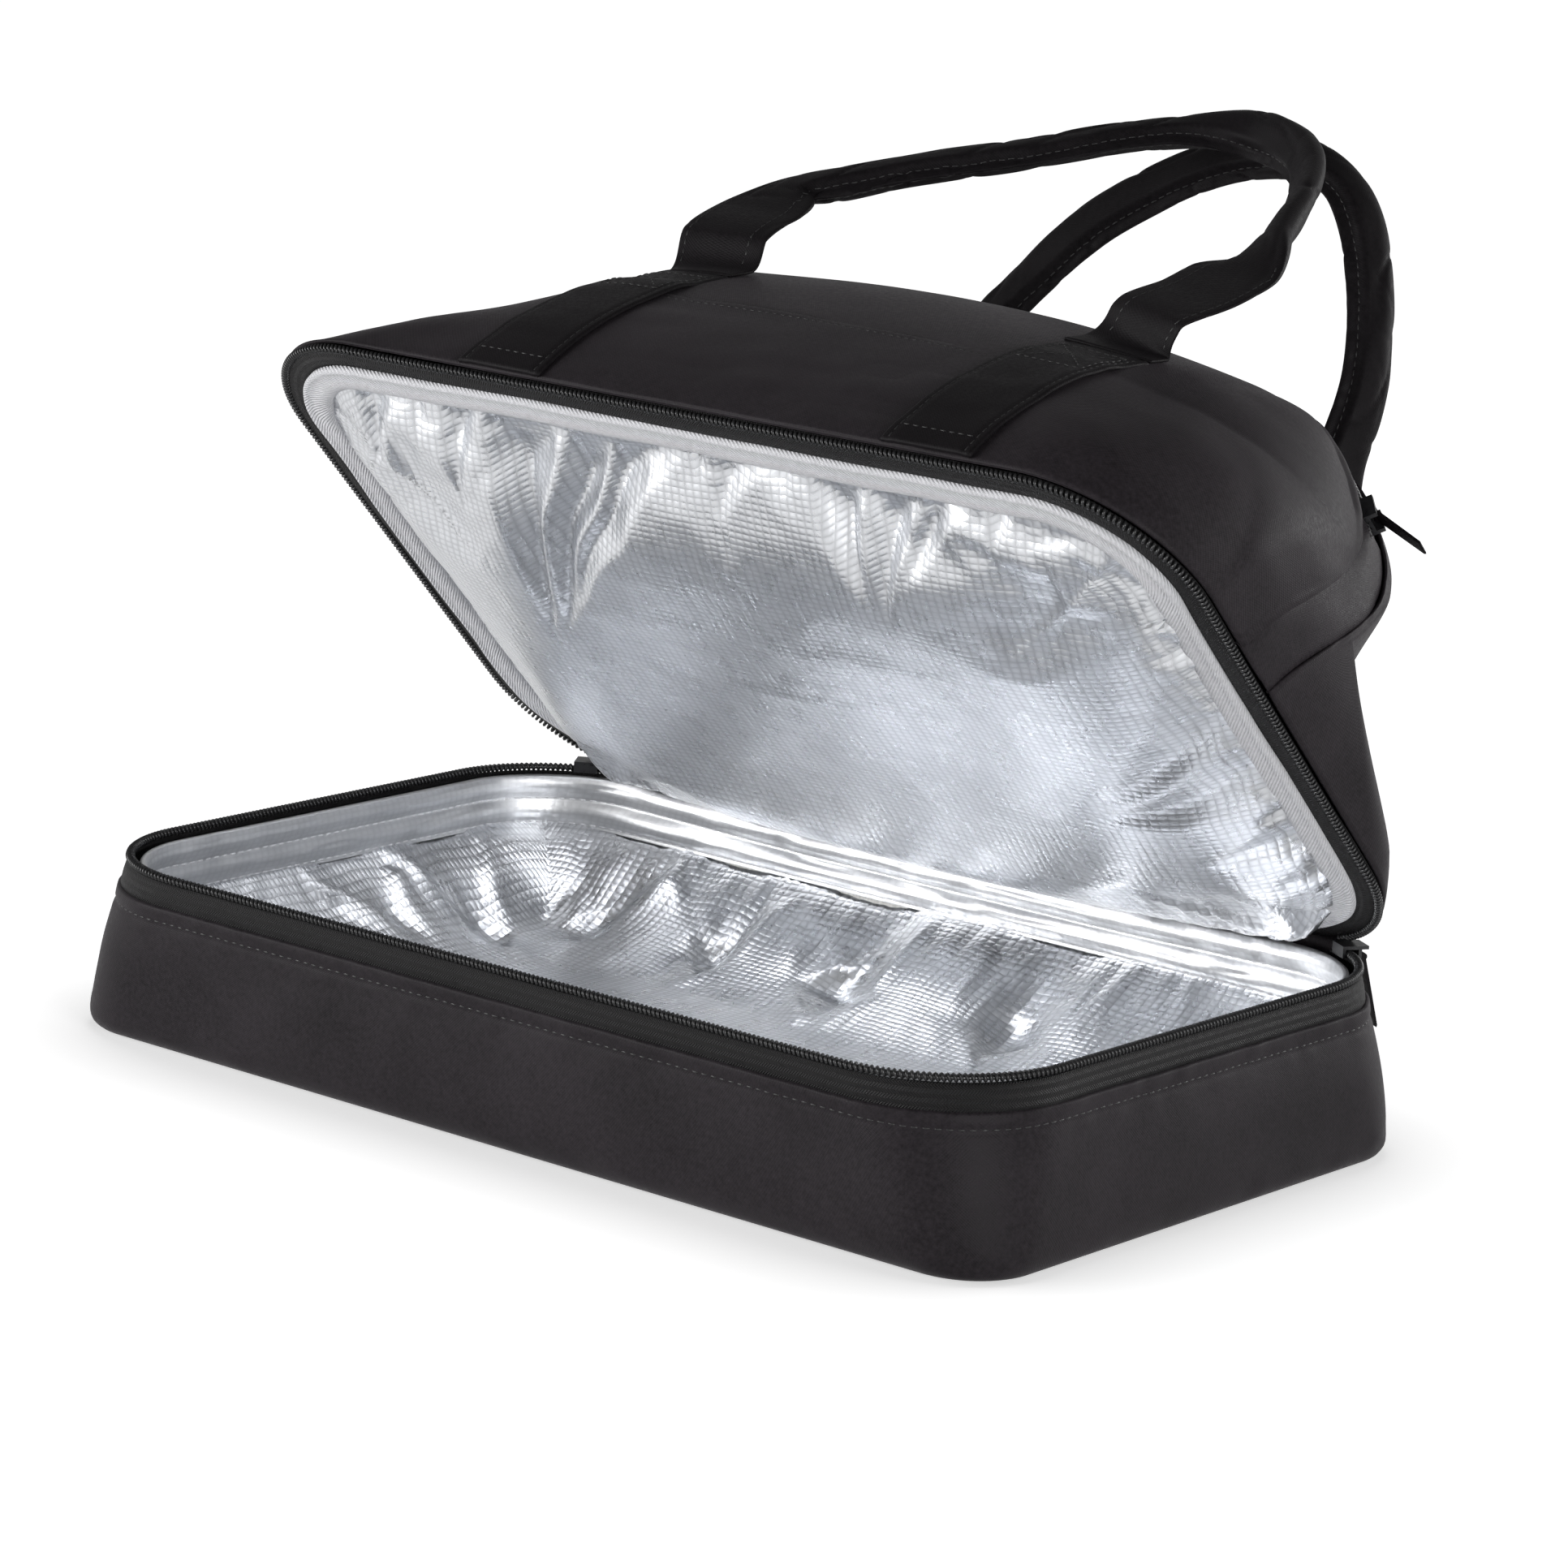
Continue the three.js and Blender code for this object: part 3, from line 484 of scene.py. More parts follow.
def stitch_row(name, points, lift, material, body, length, pitch, radius):
    """Short thread stitches along a polyline. lift gives the direction out of the cloth at each point."""
    run = Run(points, lift)
    count = max(1, int(run.length / pitch))
    p, t, o = (v[:, None, None] for v in run.at((np.arange(count) + 0.5) * run.length / count))
    turn = 2 * math.pi * np.arange(STITCH_SIDES) / STITCH_SIDES
    along, r = STITCH.T[..., None]
    out = STITCH_SINK[:, None] * radius + radius * r * np.cos(turn)
    across = radius * np.maximum(r, 0.15) * np.sin(turn)
    verts = p + t * (along * length)[..., None] + o * out[..., None] + np.cross(t, o) * across[..., None]
    quads = grid_faces(len(STITCH), STITCH_SIDES, True)
    first = np.arange(count) * len(STITCH) * STITCH_SIDES
    obj = make(name, verts.reshape(-1, 3), (quads + first[:, None, None]).reshape(-1, 4), material)
    settle(obj, body)


def coil(name, run, pitch, half_in, half_up, wire, body, node):
    """A nylon coil: one wire wound round a run. half_in and half_up are its half sizes."""
    per_turn, sides = 10, 5
    n = int(run.length / pitch) * per_turn
    p, t, o = run.at(np.linspace(0, run.length, n + 1))
    w = np.cross(t, o)
    phase = np.arange(n + 1) * 2 * math.pi / per_turn
    c, q = np.cos(phase)[:, None], np.sin(phase)[:, None]
    centre = p + o * half_in * c + w * half_up * q
    along = unit(np.gradient(centre, axis=0))
    side = o * c / half_in + w * q / half_up
    side = unit(side - along * (side * along).sum(1, keepdims=True))
    third = np.cross(along, side)
    angles = [2 * math.pi * k / sides for k in range(sides)]
    rings = [centre + wire * (side * math.cos(a) + third * math.sin(a)) for a in angles]
    settle(tube(name, np.stack(rings, 1), coil_plastic), body, [node])


# Tray: outer wall, bottom, zip tape and coil.

def tray_rows(levels):
    """Tray outlines at (height, inset) levels: a grid, its outward directions, and lengths round it."""
    rings = [tray_ring(z, inset) for z, inset in levels]
    grid = np.stack([p for p, _ in rings])
    return grid, np.stack([d for _, d in rings]), lengths(grid, True)[:, :-1, 0]


def tray_wall():
    """Rounded foot, slack wall with a sewn seam, and the cloth folded over at the top."""
    foot_turn = np.radians(np.linspace(0, 90, 8))
    levels = [(0.0, 12.0), (0.0, 9.5)]
    levels += [(FOOT_R * (1 - math.cos(a)), FOOT_R * (1 - math.sin(a))) for a in foot_turn]
    levels += [(z, 0.0) for z in np.linspace(9, WALL_TOP + 3.6, 30)]
    grid, out, arc = tray_rows(levels)
    z = grid[..., 2]
    rise = clamp01((z - 5) / 45)
    belly = 1.6 * np.sin(np.pi * rise) ** 0.8
    wave = 0.9 * noise(arc / 95, z / 45, 3) + 0.45 * noise(arc / 38, z / 30, 5)
    pucker = 0.35 * noise(arc / 6.5, z / 9, 7) * smooth(z, 40, 48)
    lip = 0.9 * smooth(z, 45, 51)
    foot = 0.35 * noise(arc / 11, z / 5, 9) * hump(z, 0.5, 4, 6, 16)
    amount = belly + wave * np.sin(np.pi * rise) + pucker - bell(z, WALL_SEAM_Z, 1.2) + lip
    amount = np.where(z > 0.3, smooth(z, 0.3, 8) * amount + foot, 0)
    grid = grid + out * amount[..., None]
    top, lift = grid[-1], out[-1]
    seam = grid[np.argmin(np.abs(grid[:, 0, 2] - WALL_SEAM_Z))]
    fold = []
    for a in np.radians(np.arange(30, 181, 30)):
        fold.append(top - lift * WALL_FOLD * (1 - math.cos(a)) + np.array([0, 0, WALL_FOLD * math.sin(a)]))
    fold.append(fold[-1] - np.array([0, 0, 5.0]))
    wall = sheet("tray_wall", np.concatenate([grid, np.stack(fold)]), cloth, wrap=True, flip=True)
    settle(wall, "base", ["base_wall"])
    seam, lift = closed(seam), closed(lift)
    stitch_row("tray_wall_stitches", seam, lift, black_thread, "base", 2.6, 3.8, 0.45)


def tray_bottom(rows=20):
    """The underside: shrinking copies of the foot's outline, with slight waves towards the middle."""
    rim, _ = tray_ring(0.0, 10.5)
    share = np.linspace(1, 0.02, rows)[:, None]
    x, y = share * rim[:, 0], share * rim[:, 1]
    flat = xyz(x, y, 0.5 + 0.25 * noise(x / 40, y / 40, 4) * (1 - share)).reshape(-1, 3)
    faces = [tuple(f) for f in grid_faces(rows, len(rim), True)]
    faces.append(tuple(range((rows - 1) * len(rim), rows * len(rim))))
    uvs = np.concatenate([flat[list(f), :2] for f in faces])
    settle(make("tray_bottom", flat, faces, cloth, uvs), "base", ["base_bottom_panel"])


tray_wall()
tray_bottom()

# Tape: from behind the folded cloth up to the coil, on the front and the ends.
TRAY_TAPE = [
    (45.0, 1.6), (47.5, 1.3), (50.0, 1.0), (53.0, 0.75), (56.0, 0.6), (59.0, 0.6), (61.5, 0.75), (63.4, 1.0),
]
tape_rows = []
for z, inset in TRAY_TAPE:
    part = zip_part(*tray_ring(z, inset), 20)
    arc = np.linspace(0, part.length, TAPE_COLUMNS)
    q, _, o = part.at(arc)
    bow = 0.5 * noise(arc / 60, z / 30, 11) + 0.2 * noise(arc / 17, z / 11, 12)
    tape_rows.append(q + o * bow[:, None])
tape_piece = sheet("tray_zip_tape", np.stack(tape_rows), tape, 0.8, flip=True)
settle(tape_piece, "base", ["base_zip_tape"])
rim_run = zip_part(*tray_ring(RIM_Z - 1.5, 1.6), 24)
coil("tray_zip_coil", rim_run, *COIL_SIZE, "base", "base_zip_coil")
q, _, o = rim_run.at(np.linspace(0, rim_run.length, 700))
cord = [
    q + o * 0.95 * math.cos(a) + np.array([0, 0, 0.9 * math.sin(a)])
    for a in np.linspace(0, 2 * math.pi, 8, endpoint=False)
]
settle(tube("tray_zip_cord", np.stack(cord, 1), coil_plastic), "base")

# Tray lining: a stitched foil hem round the top, and a loose foil bag under it.

def tray_hem():
    levels = [(62.4, 5.2), (63.0, 5.9), (62.9, 6.7), (62.0, 7.3)]
    levels += [(z, 7.6) for z in np.linspace(60.5, 42.2, 27)]
    grid, out, arc = tray_rows(levels)
    z = grid[..., 2]
    rear = smooth(grid[..., 1], 105, 122) * (1 - smooth(np.abs(grid[..., 0]), 60, 170))
    crush = folds(arc / 26, z / 11 + 0.25 * noise(arc / 30, z / 9, 23), 21) ** 3
    crush = crush + 0.35 * folds(arc / 9, z / 7, 22) ** 3 - 0.5
    amount = 0.9 * crush * smooth(64.5 - z, 0, 5)
    for level in HEM_SEAMS:
        amount = amount * (1 - 0.75 * bell(z, level, 1.6)) + 0.9 * bell(z, level, 1.4)
    puff = -1.4 * (bell(z, 58.5, 3.2) + bell(z, 48.5, 3.4))
    grid = grid + out * (amount + puff)[..., None] * 0.9
    grid[..., 2] -= 2.0 * rear * smooth(z, 38, 60)
    settle(sheet("tray_foil_hem", grid, hem_foil, wrap=True), "base", ["base_liner_wall"])
    heights = np.array([z for z, _ in levels])
    for k, level in enumerate(HEM_SEAMS):
        row = np.argmin(np.abs(heights - level))
        seam, lift = closed(grid[row]), -closed(out[row])
        stitch_row(f"tray_hem_stitches_{k}", seam, lift, white_thread, "base", 3.0, 4.2, 0.32)


tray_hem()


def rounded_grid(a, b, corner, step):
    """A rectangular net of points bent into a rounded rectangle, and each point's depth in from the edge."""
    nx, ny = int(round(2 * a / step)), int(round(2 * b / step))
    x, y = np.meshgrid(np.linspace(-a, a, nx + 1), np.linspace(-b, b, ny + 1))
    depth = np.minimum(a - np.abs(x), b - np.abs(y))
    r = np.maximum(corner - depth, 0.01)
    cx = np.clip(x, -(a - depth - r), a - depth - r)
    cy = np.clip(y, -(b - depth - r), b - depth - r)
    dx, dy = x - cx, y - cy
    n = np.maximum(np.hypot(dx, dy), 1e-9)
    both = (np.abs(dx) > 1e-9) & (np.abs(dy) > 1e-9)
    px = np.where(both, cx + dx / n * r, x)
    py = np.where(both, cy + dy / n * r, y)
    return x, y, px, py, depth


CLOTH_SETTINGS = {
    "quality": 6, "mass": 0.15, "tension_stiffness": 40, "compression_stiffness": 40, "shear_stiffness": 24,
    "bending_stiffness": 0.8, "tension_damping": 8, "compression_damping": 8, "shear_damping": 8,
    "bending_damping": 0.5, "air_damping": 2.0, "vertex_group_mass": "pinned", "pin_stiffness": 1.0,
}


def points_of(obj):
    return np.array([v.co for v in obj.data.vertices]) * PER_M


def simulate(obj, depth, frames, pressure, grow, gravity):
    """Where cloth with a fixed edge, cut larger than its frame, lies after some frames, in millimetres."""
    group = obj.vertex_groups.new(name="pinned")
    group.add(np.flatnonzero((depth < 1.0).ravel()).tolist(), 1.0, "REPLACE")
    mod = obj.modifiers.new("cloth", "CLOTH")
    for key, value in CLOTH_SETTINGS.items():
        setattr(mod.settings, key, value)
    mod.settings.shrink_min = -grow
    mod.settings.use_pressure = pressure != 0
    mod.settings.uniform_pressure_force = pressure
    mod.settings.effector_weights.gravity = gravity
    mod.collision_settings.use_collision = False
    mod.point_cache.frame_start = 1
    mod.point_cache.frame_end = frames + 1
    for f in range(1, frames + 1):
        scene.frame_set(f)
    points = points_of(obj.evaluated_get(bpy.context.evaluated_depsgraph_get()))
    obj.modifiers.remove(mod)
    obj.vertex_groups.remove(group)
    scene.frame_set(1)
    return points


def replace_points(obj, points):
    obj.data.vertices.foreach_set("co", (np.asarray(points) * MM).astype(np.float32).ravel())
    obj.data.update()


def eased(field, passes):
    """A field with its sharpest corners worn off."""
    for _ in range(passes):
        g = np.pad(field, 1, mode="edge")
        field = (4 * field + g[:-2, 1:-1] + g[2:, 1:-1] + g[1:-1, :-2] + g[1:-1, 2:]) / 8
    return field


def dart(x, y, mouth, half, tip, depth):
    """A fold from a mouth at a sewn edge, running out at a tip: two flat facets with a sharp line between."""
    m, t = np.array(mouth, float), np.array(tip, float)
    reach = np.linalg.norm(t - m)
    along = (t - m) / reach
    dx, dy = x - m[0], y - m[1]
    run = 1 - (dx * along[0] + dy * along[1]) / reach
    off = np.abs(dx * along[1] - dy * along[0])
    wide = half * np.maximum(run, 1e-6)
    return np.where(run > 0, depth * np.minimum(run, 1.2) * np.maximum(0, 1 - off / wide), 0)


def darts(x, y, shapes):
    """The deepest of several darts, each a mouth, half width, tip and depth."""
    return np.maximum.reduce([dart(x, y, *shape) for shape in shapes])


def edge_darts(x, y, a, b, rng, side, count, half, reach, depth):
    """Uneven gathers along one sewn edge. Side is the outward direction of that edge."""
    total = np.zeros_like(x)
    span = (b if side[0] else a) - 34
    for k in range(count):
        along = span * (2 * (k + rng.uniform(0.2, 0.8)) / count - 1)
        length = reach * rng.uniform(0.6, 1.35)
        drift = rng.uniform(-0.35, 0.35) * length
        if side[0]:
            mouth = (side[0] * a, along)
            tip = (side[0] * (a - length), along + drift)
        else:
            mouth = (along, side[1] * b)
            tip = (along + drift, side[1] * (b - length))
        wide = half * rng.uniform(0.6, 1.3)
        total = np.maximum(total, dart(x, y, mouth, wide, tip, depth * rng.uniform(0.5, 1.2)))
    return total


def tray_lining():
    """The foil bag: a falling edge with puffs and darts round a floor."""
    a, b = (lerp(FOOT[k], RIM[k], LINING_TOP / RIM_Z) / 2 - 6.6 for k in (0, 1))
    x, y, px, py, depth = rounded_grid(a, b, 39.0, 2.4)
    rng = np.random.default_rng(12)
    wx, wy = x + 6 * noise(x / 70, y / 70, 31), y + 6 * noise(x / 70, y / 70, 32)
    swell = np.abs(noise(wx / 105, wy / 80, 33)) ** 0.8
    puff = 12.0 * hump(depth, 6, 40, 62, 112) * (0.3 + 0.7 * swell)
    valley = darts(wx, wy, [
        ((-92, b), 30, (-77, b - 64), 20), ((-36, b), 32, (4, b - 78), 18),
        ((-150, b), 26, (-132, b - 54), 15), ((58, b), 40, (58, b - 56), 12),
        ((-a, 62), 24, (-a + 62, 50), 14), ((-a, 8), 22, (-a + 46, 20), 10), ((a, 20), 34, (a - 66, 30), 12),
    ])
    valley = eased(np.maximum(valley, edge_darts(wx, wy, a, b, rng, (0, -1), 4, 30, 52, 12)), 4)
    room = (LINING_TOP - LINING_FLOOR) * smooth(depth, 0, 46)
    z = LINING_TOP - room + np.minimum(puff, room * 0.6) - np.minimum(valley, 2 + puff) * smooth(depth, 2, 10)
    z += 0.4 * noise(x / 34, y / 34, 34) * hump(depth, 3, 12, 40, 80)
    bow = 6.0 * np.sin(np.pi * clamp01(depth / 46)) * (0.5 + 0.5 * noise(wx / 40, wy / 40, 35))
    bow = (bow - valley * 0.35) * (1 - smooth(depth, 30, 60))
    grid = xyz(px, py, np.maximum(z, LINING_FLOOR - 1.5))
    reach = np.maximum(np.hypot(px, py), 1)
    grid[..., 0] -= bow * px / reach
    grid[..., 1] -= bow * py / reach
    return sheet("tray_foil_lining", grid, foil, uv=np.stack([x, y], -1)), depth


def lid_pillow():
    """The padded foil under the lid, drawn closed, and its long folds, to be added after the simulation."""
    a, b = RIM[0] / 2 - PILLOW_INSET, RIM[1] / 2 - PILLOW_INSET
    x, y, px, py, depth = rounded_grid(a, b, 35.0, 2.0)
    rng = np.random.default_rng(5)
    inner = np.minimum.reduce([a - np.abs(x), b + y, 2.6 * (b - y)])
    bulge = PILLOW_BULGE * (1 - (1 - clamp01(inner / 78)) ** 2.3)
    wx, wy = x + 2.5 * noise(x / 30, y / 30, 42), y + 2.5 * noise(x / 30, y / 30, 43)
    vees = darts(wx, wy, [
        ((-76, -b), 16, (-104, -1), 19), ((-44, -b), 16, (-100, -3), 17), ((-18, -b), 13, (-92, -16), 13),
        ((64, -b), 12, (68, -58), 16), ((86, -b), 13, (71, -55), 16), ((110, -b), 10, (80, -70), 11),
        ((-148, -b + 3), 10, (-160, -76), 10), ((-104, -b), 10, (-116, -66), 10),
        ((a, -22), 20, (106, 42), 6), ((a, 12), 20, (104, 45), 6), ((a, 54), 14, (140, 60), 6),
        ((22, -b), 11, (8, -84), 7),
    ])
    gathers = np.maximum.reduce([
        edge_darts(wx, wy, a, b, rng, (0, -1), 9, 8, 18, 6),
        edge_darts(wx, wy, a, b, rng, (1, 0), 7, 8, 17, 6),
        edge_darts(wx, wy, a, b, rng, (-1, 0), 4, 9, 20, 4),
    ])
    crush = folds(x / 11, y / 11, 44) ** 3 + 0.6 * folds(x / 5.5, y / 5.5, 45) ** 3
    rim = hump(depth, 0.5, 5, 6, 13) * (0.45 + 0.55 * smooth(x, 90, 150))
    gathers, vees = np.minimum(gathers, bulge), np.minimum(vees, bulge)
    vees = eased(vees - np.minimum(gathers, vees), 1)
    h = 1.6 - bulge + gathers + 1.6 * crush * rim + 1.2 * noise(x / 90, y / 90, 41) * smooth(depth, 10, 50)
    rear = smooth(y, 40, 100) * (1 - 0.8 * smooth(np.abs(x), 150, a))
    over = 14.5 * rear * depth / 8 * np.exp(1 - depth / 8)
    grid = xyz(px + 6.5 * smooth(x, 90, a), py + over, h)
    return sheet("lid_foil_pillow", grid, foil, flip=True, uv=np.stack([x, y], -1)), depth, vees


lining, lining_depth = tray_lining()
pillow, pillow_depth, pillow_vees = lid_pillow()
sagged = simulate(lining, lining_depth, 8, 0.0, 0.009, 0.15)
face = FOAM_FACE + 0.4 * noise(sagged[:, 0] / 45, sagged[:, 1] / 45, 36)
over = sagged[:, 2] - face
sagged[:, 2] = face + (over + np.hypot(over, 1.5)) / 2
replace_points(lining, sagged)
replace_points(pillow, simulate(pillow, pillow_depth, 6, 0.3, 0.006, 0.0))
settle(lining, "base", ["base_liner_floor"])
pillow_points = points_of(pillow)
pillow_points[:, 2] += pillow_vees.ravel()
replace_points(pillow, lid_to_world(pillow_points))
settle(pillow, "upper", ["lid_liner"])

# Lid edge: coil, tape and white binding.
drawn_run = zip_part(*lid_ring(1.65, 1.5), 22)
lid_points = lid_to_world(drawn_run.p)
lid_run = Run(lid_points, lid_to_world(drawn_run.p + drawn_run.o) - lid_points)
coil("lid_zip_coil_turns", lid_run, *COIL_SIZE, "upper", "lid_zip_coil")
LID_TAPE = [(0.6, 3.0), (1.6, 1.9), (3.4, 1.2), (5.5, 0.7), (7.5, 0.5), (9.5, 0.8), (11.5, 1.6), (12.5, 2.4)]
tape_rows = []
for inset, h in LID_TAPE:
    part = zip_part(*lid_ring(h, inset), 6)
    arc = np.linspace(0, part.length, TAPE_COLUMNS)
    q, _, _ = part.at(arc)
    q[:, 2] += 0.5 * noise(arc / 45, inset / 9, 51)
    tape_rows.append(q)
lid_tape = sheet("lid_zip_tape_strip", lid_to_world(np.stack(tape_rows)), tape, 0.7)
settle(lid_tape, "upper", ["lid_zip_tape"])
BINDING = [
    (10.2, 1.2), (10.0, -0.6), (10.8, -1.7), (12.2, -1.5), (13.2, -1.0), (15.5, -1.5), (18.0, -1.7),
    (20.5, -1.2), (21.6, -0.2), (22.0, 1.4), (19.0, 2.6), (13.0, 2.6),
]


def lid_binding():
    grid = np.stack([lid_ring(h, inset)[0] for inset, h in BINDING], 1)
    _, d = lid_ring(0, 15)
    arc = Run(closed(grid[:, 0]), closed(d)).s[:-1]
    sway = 1.2 * noise(arc / 55, 0.3, 61) + 0.6 * noise(arc / 21, 2.3, 62)
    grid = grid + (d * sway[:, None])[:, None, :]
    grid[..., 2] += 0.64 * noise(arc / 48, 5.1, 63)[:, None]
    obj = tube("lid_binding_tape", lid_to_world(closed(grid)), binding_twill, caps=False)
    settle(obj, "upper", ["lid_binding"])


lid_binding()

# Compartment panels. u runs from the lower edge (0) to the ridge (1).
end_x = RIM[0] / 2 - math.sqrt(END_R ** 2 - (END_H - PANEL_LOW) ** 2)
crown_half = end_x + math.sqrt(END_R ** 2 - (BODY_H - CROWN - END_H) ** 2)
u_low = (BODY_H - math.sqrt(BODY_H ** 2 - 4 * CROWN * PANEL_LOW)) / (2 * CROWN)
LEVELS = np.concatenate([np.linspace(u_low, 0.9, 60), np.linspace(0.9, U_TOP, 14)[1:]])


def settled(p):
    """The soft compartment as it stands: its left end sinks and leans in, its right foot is drawn forward."""
    p = np.asarray(p, float)
    x, y, h = p[..., 0], p[..., 1], p[..., 2]
    rise = np.maximum(h - PANEL_LOW, 0)
    left = smooth(-x, SLUMP_FROM, SLUMP_TO)
    middle = clamp01((RIM[1] * 0.3 - np.abs(y)) / (RIM[1] * 0.24))
    drawn = DRAW * (1 - smooth(h, 0, DRAW_H)) * middle * smooth(x, RIM[0] * 0.27, RIM[0] * 0.44)
    return xyz(x + LEAN * left * (rise / BODY_H) ** LEAN_POWER, y - drawn, h - SLUMP * left * rise)


def stand(p):
    """Compartment points to where they rest in the open carrier."""
    return lid_to_world(settled(p))


def flat_height(u):
    return BODY_H * u - CROWN * u * u


def crown(u, x):
    return CROWN * u * u * np.maximum(0, 1 - (np.asarray(x) / crown_half) ** 2)


def half_width(u, side):
    t = np.minimum(np.asarray(u, float) / U_TOP, 1)
    return SIDE_TOP + (RIM[1] / 2 - SIDE_TOP) * (1 - t ** FULL[side]) ** (1 / FULL[side])


def end_reach(h):
    return end_x + math.sqrt(max(0.0, END_R ** 2 - (h - END_H) ** 2))


def panel_row(u, side, n_end=16, n_arc=28, n_side=110):
    """One level of a side panel, from the right end's seam round to the left one's."""
    h = flat_height(u)
    a, b = end_reach(h), float(half_width(u, side))
    r = min(RIM[2] + GROW[side] * h, max(b - TAPE_HALF - 4, 0.5))
    power = 1.0 if side < 0 else 2 / lerp(2, REAR_POWER, float(smooth(h, PANEL_LOW, 40)))
    end = np.stack([np.full(n_end, a), lerp(TAPE_HALF - 0.4, b - r, np.arange(n_end) / n_end)], -1)
    t = math.pi / 2 * np.arange(n_arc + 1) / n_arc
    c, q = np.maximum(np.cos(t), 0), np.sin(t)
    arc = np.stack([a - r + r * c ** power, b - r + r * q ** power], -1)
    x = np.linspace(a - r, -(a - r), n_side + 1)[1:-1]
    half = np.concatenate([end, arc])
    row = np.concatenate([half, np.stack([x, np.full(len(x), b)], -1), half[::-1] * (-1, 1)])
    return xyz(row[:, 0], side * row[:, 1], h + crown(u, row[:, 0]))


def panel_point(u, x, d, side):
    """The point of a side panel at a height u, a distance d off it."""
    e = 0.01
    rise = flat_height(u + e) + crown(u + e, x) - flat_height(u - e) - crown(u - e, x)
    dy = half_width(u + e, side) - half_width(u - e, side)
    n = np.hypot(rise, dy)
    height = flat_height(u) + crown(u, x) - dy / n * d
    return xyz(x, side * (half_width(u, side) + rise / n * d), height)


def panel_relief(x, u, side):
    """How far the cloth stands out of the drawn surface: broad slack waves and small ripples."""
    seed = 70 if side < 0 else 80
    wave = 1.5 * noise(x / 85, u * 2.6, seed) + 0.8 * noise(x / 42, u * 5.0, seed + 1)
    fine = 0.25 * noise(x / 16, u * 11.0, seed + 2)
    return (wave + fine) * hump(u, 0.03, 0.2, 0.86, 0.96)


def compartment(side, word):
    grid = np.stack([panel_row(u, side) for u in LEVELS])
    n = -side * unit(np.cross(np.gradient(grid, axis=1), np.gradient(grid, axis=0)))
    us = np.repeat(LEVELS[:, None], grid.shape[1], 1)
    middle = 1 - smooth(np.abs(grid[..., 0] - 18), 105, 150)
    relief = panel_relief(grid[..., 0] + 0.6 * grid[..., 1], us, side)
    seamward = 1 - smooth(np.abs(grid[..., 1]), TAPE_HALF, TAPE_HALF + 4)
    pucker = 0.3 * noise(us * 22, grid[..., 1] / 7, 88)
    relief = relief * (1 - seamward) * (1 - 0.8 * middle) - (1.1 + pucker) * seamward
    obj = sheet(f"compartment_{word}", stand(grid + n * relief[..., None]), cloth, 1.2, flip=side > 0)
    settle(obj, "upper", [f"upper_{word}_panel"])


compartment(-1, "front")
compartment(1, "rear")

# Ridge: two zip tapes with the closed coil between them, and a plain gusset under each end.
# A section is a list of a y and an offset out of the path.
RIDGE_TAPE = [
    (16.5, -3.4), (13.6, -1.6), (12.4, -0.5), (11.5, -0.2), (9.0, 0.0), (6.0, 0.1), (3.5, 0.2), (2.0, 0.25),
    (0.8, 0.0),
]
GUSSET_HALF = [(13.4, -1.2), (12.6, -0.35), (11.6, 0.05), (8, 0.2), (4, 0.3), (0, 0.35)]
GUSSET = [(-y, d) for y, d in GUSSET_HALF] + GUSSET_HALF[-2::-1]
GUSSET_SEAMS = [(-16.5, -0.5), (-9.8, 0.15), (9.8, 0.15), (16.5, -0.5)]


def end_arc(first, last, n):
    """Points (x, height) of the right end's arc between two angles."""
    a = np.linspace(first, last, n)
    return np.stack([end_x + END_R * np.cos(a), END_H + END_R * np.sin(a)], -1)


def ridge_path(n=420):
    top = flat_height(U_TOP)
    right = end_arc(ZIP_ANGLE, math.asin((top - END_H) / END_R), 60)
    x = np.linspace(end_reach(top), -end_reach(top), n)[1:-1]
    mid = np.stack([x, top + crown(U_TOP, x)], -1)
    return np.concatenate([right, mid, right[::-1] * np.array([-1, 1])])


def ribbon_rows(path, section):
    """Rows of points along a path, one for each station of a section."""
    t = unit(np.gradient(path, axis=0))
    x, h, nx, nh = path[:, 0], path[:, 1], t[:, 1], -t[:, 0]
    return np.stack([xyz(x + nx * d, y, h + nh * d) for y, d in section])


path = ridge_path()
for side, word in ((-1, "front"), (1, "rear")):
    rows = ribbon_rows(path, [(side * y, d) for y, d in RIDGE_TAPE])
    obj = sheet(f"ridge_tape_{word}", stand(rows), tape, 0.8, flip=side < 0)
    settle(obj, "upper", [f"top_zip_tape_{word}"])
rows = stand(ribbon_rows(path, [(0, 0.5), (0, 1.5)]))
coil("ridge_zip_coil", Run(rows[0], rows[1] - rows[0]), 1.7, 0.55, 1.75, 0.5, "upper", "top_zip_coil")

gusset_path = end_arc(math.asin((PANEL_LOW - END_H) / END_R), ZIP_ANGLE + 0.03, 70)
for side, word in ((1, "right"), (-1, "left")):
    rows = ribbon_rows(gusset_path, GUSSET)
    rows[..., 0] += 0.6 * noise(rows[..., 1] / 12, rows[..., 2] / 18, 91)
    obj = sheet(f"{word}_gusset_strip", stand(rows * (side, 1, 1)), cloth, 1.0, flip=side < 0)
    settle(obj, "upper", [f"{word}_end_gusset"])
    for k, (y, d) in enumerate(GUSSET_SEAMS):
        line, above = stand(ribbon_rows(gusset_path[2:-2], [(y, d), (y, d + 1)]) * (side, 1, 1))
        name = f"{word}_gusset_stitches_{k}"
        stitch_row(name, line, above - line, black_thread, "upper", 2.4, 3.4, 0.26)

# Straps, pocket and handles.

def over_pocket(u):
    """The gap under a front strap: over the pocket, then down to the panel above it."""
    return lerp(1.6, 0.3, smooth(u, POCKET_TOP + 0.04, POCKET_TOP + 0.11))


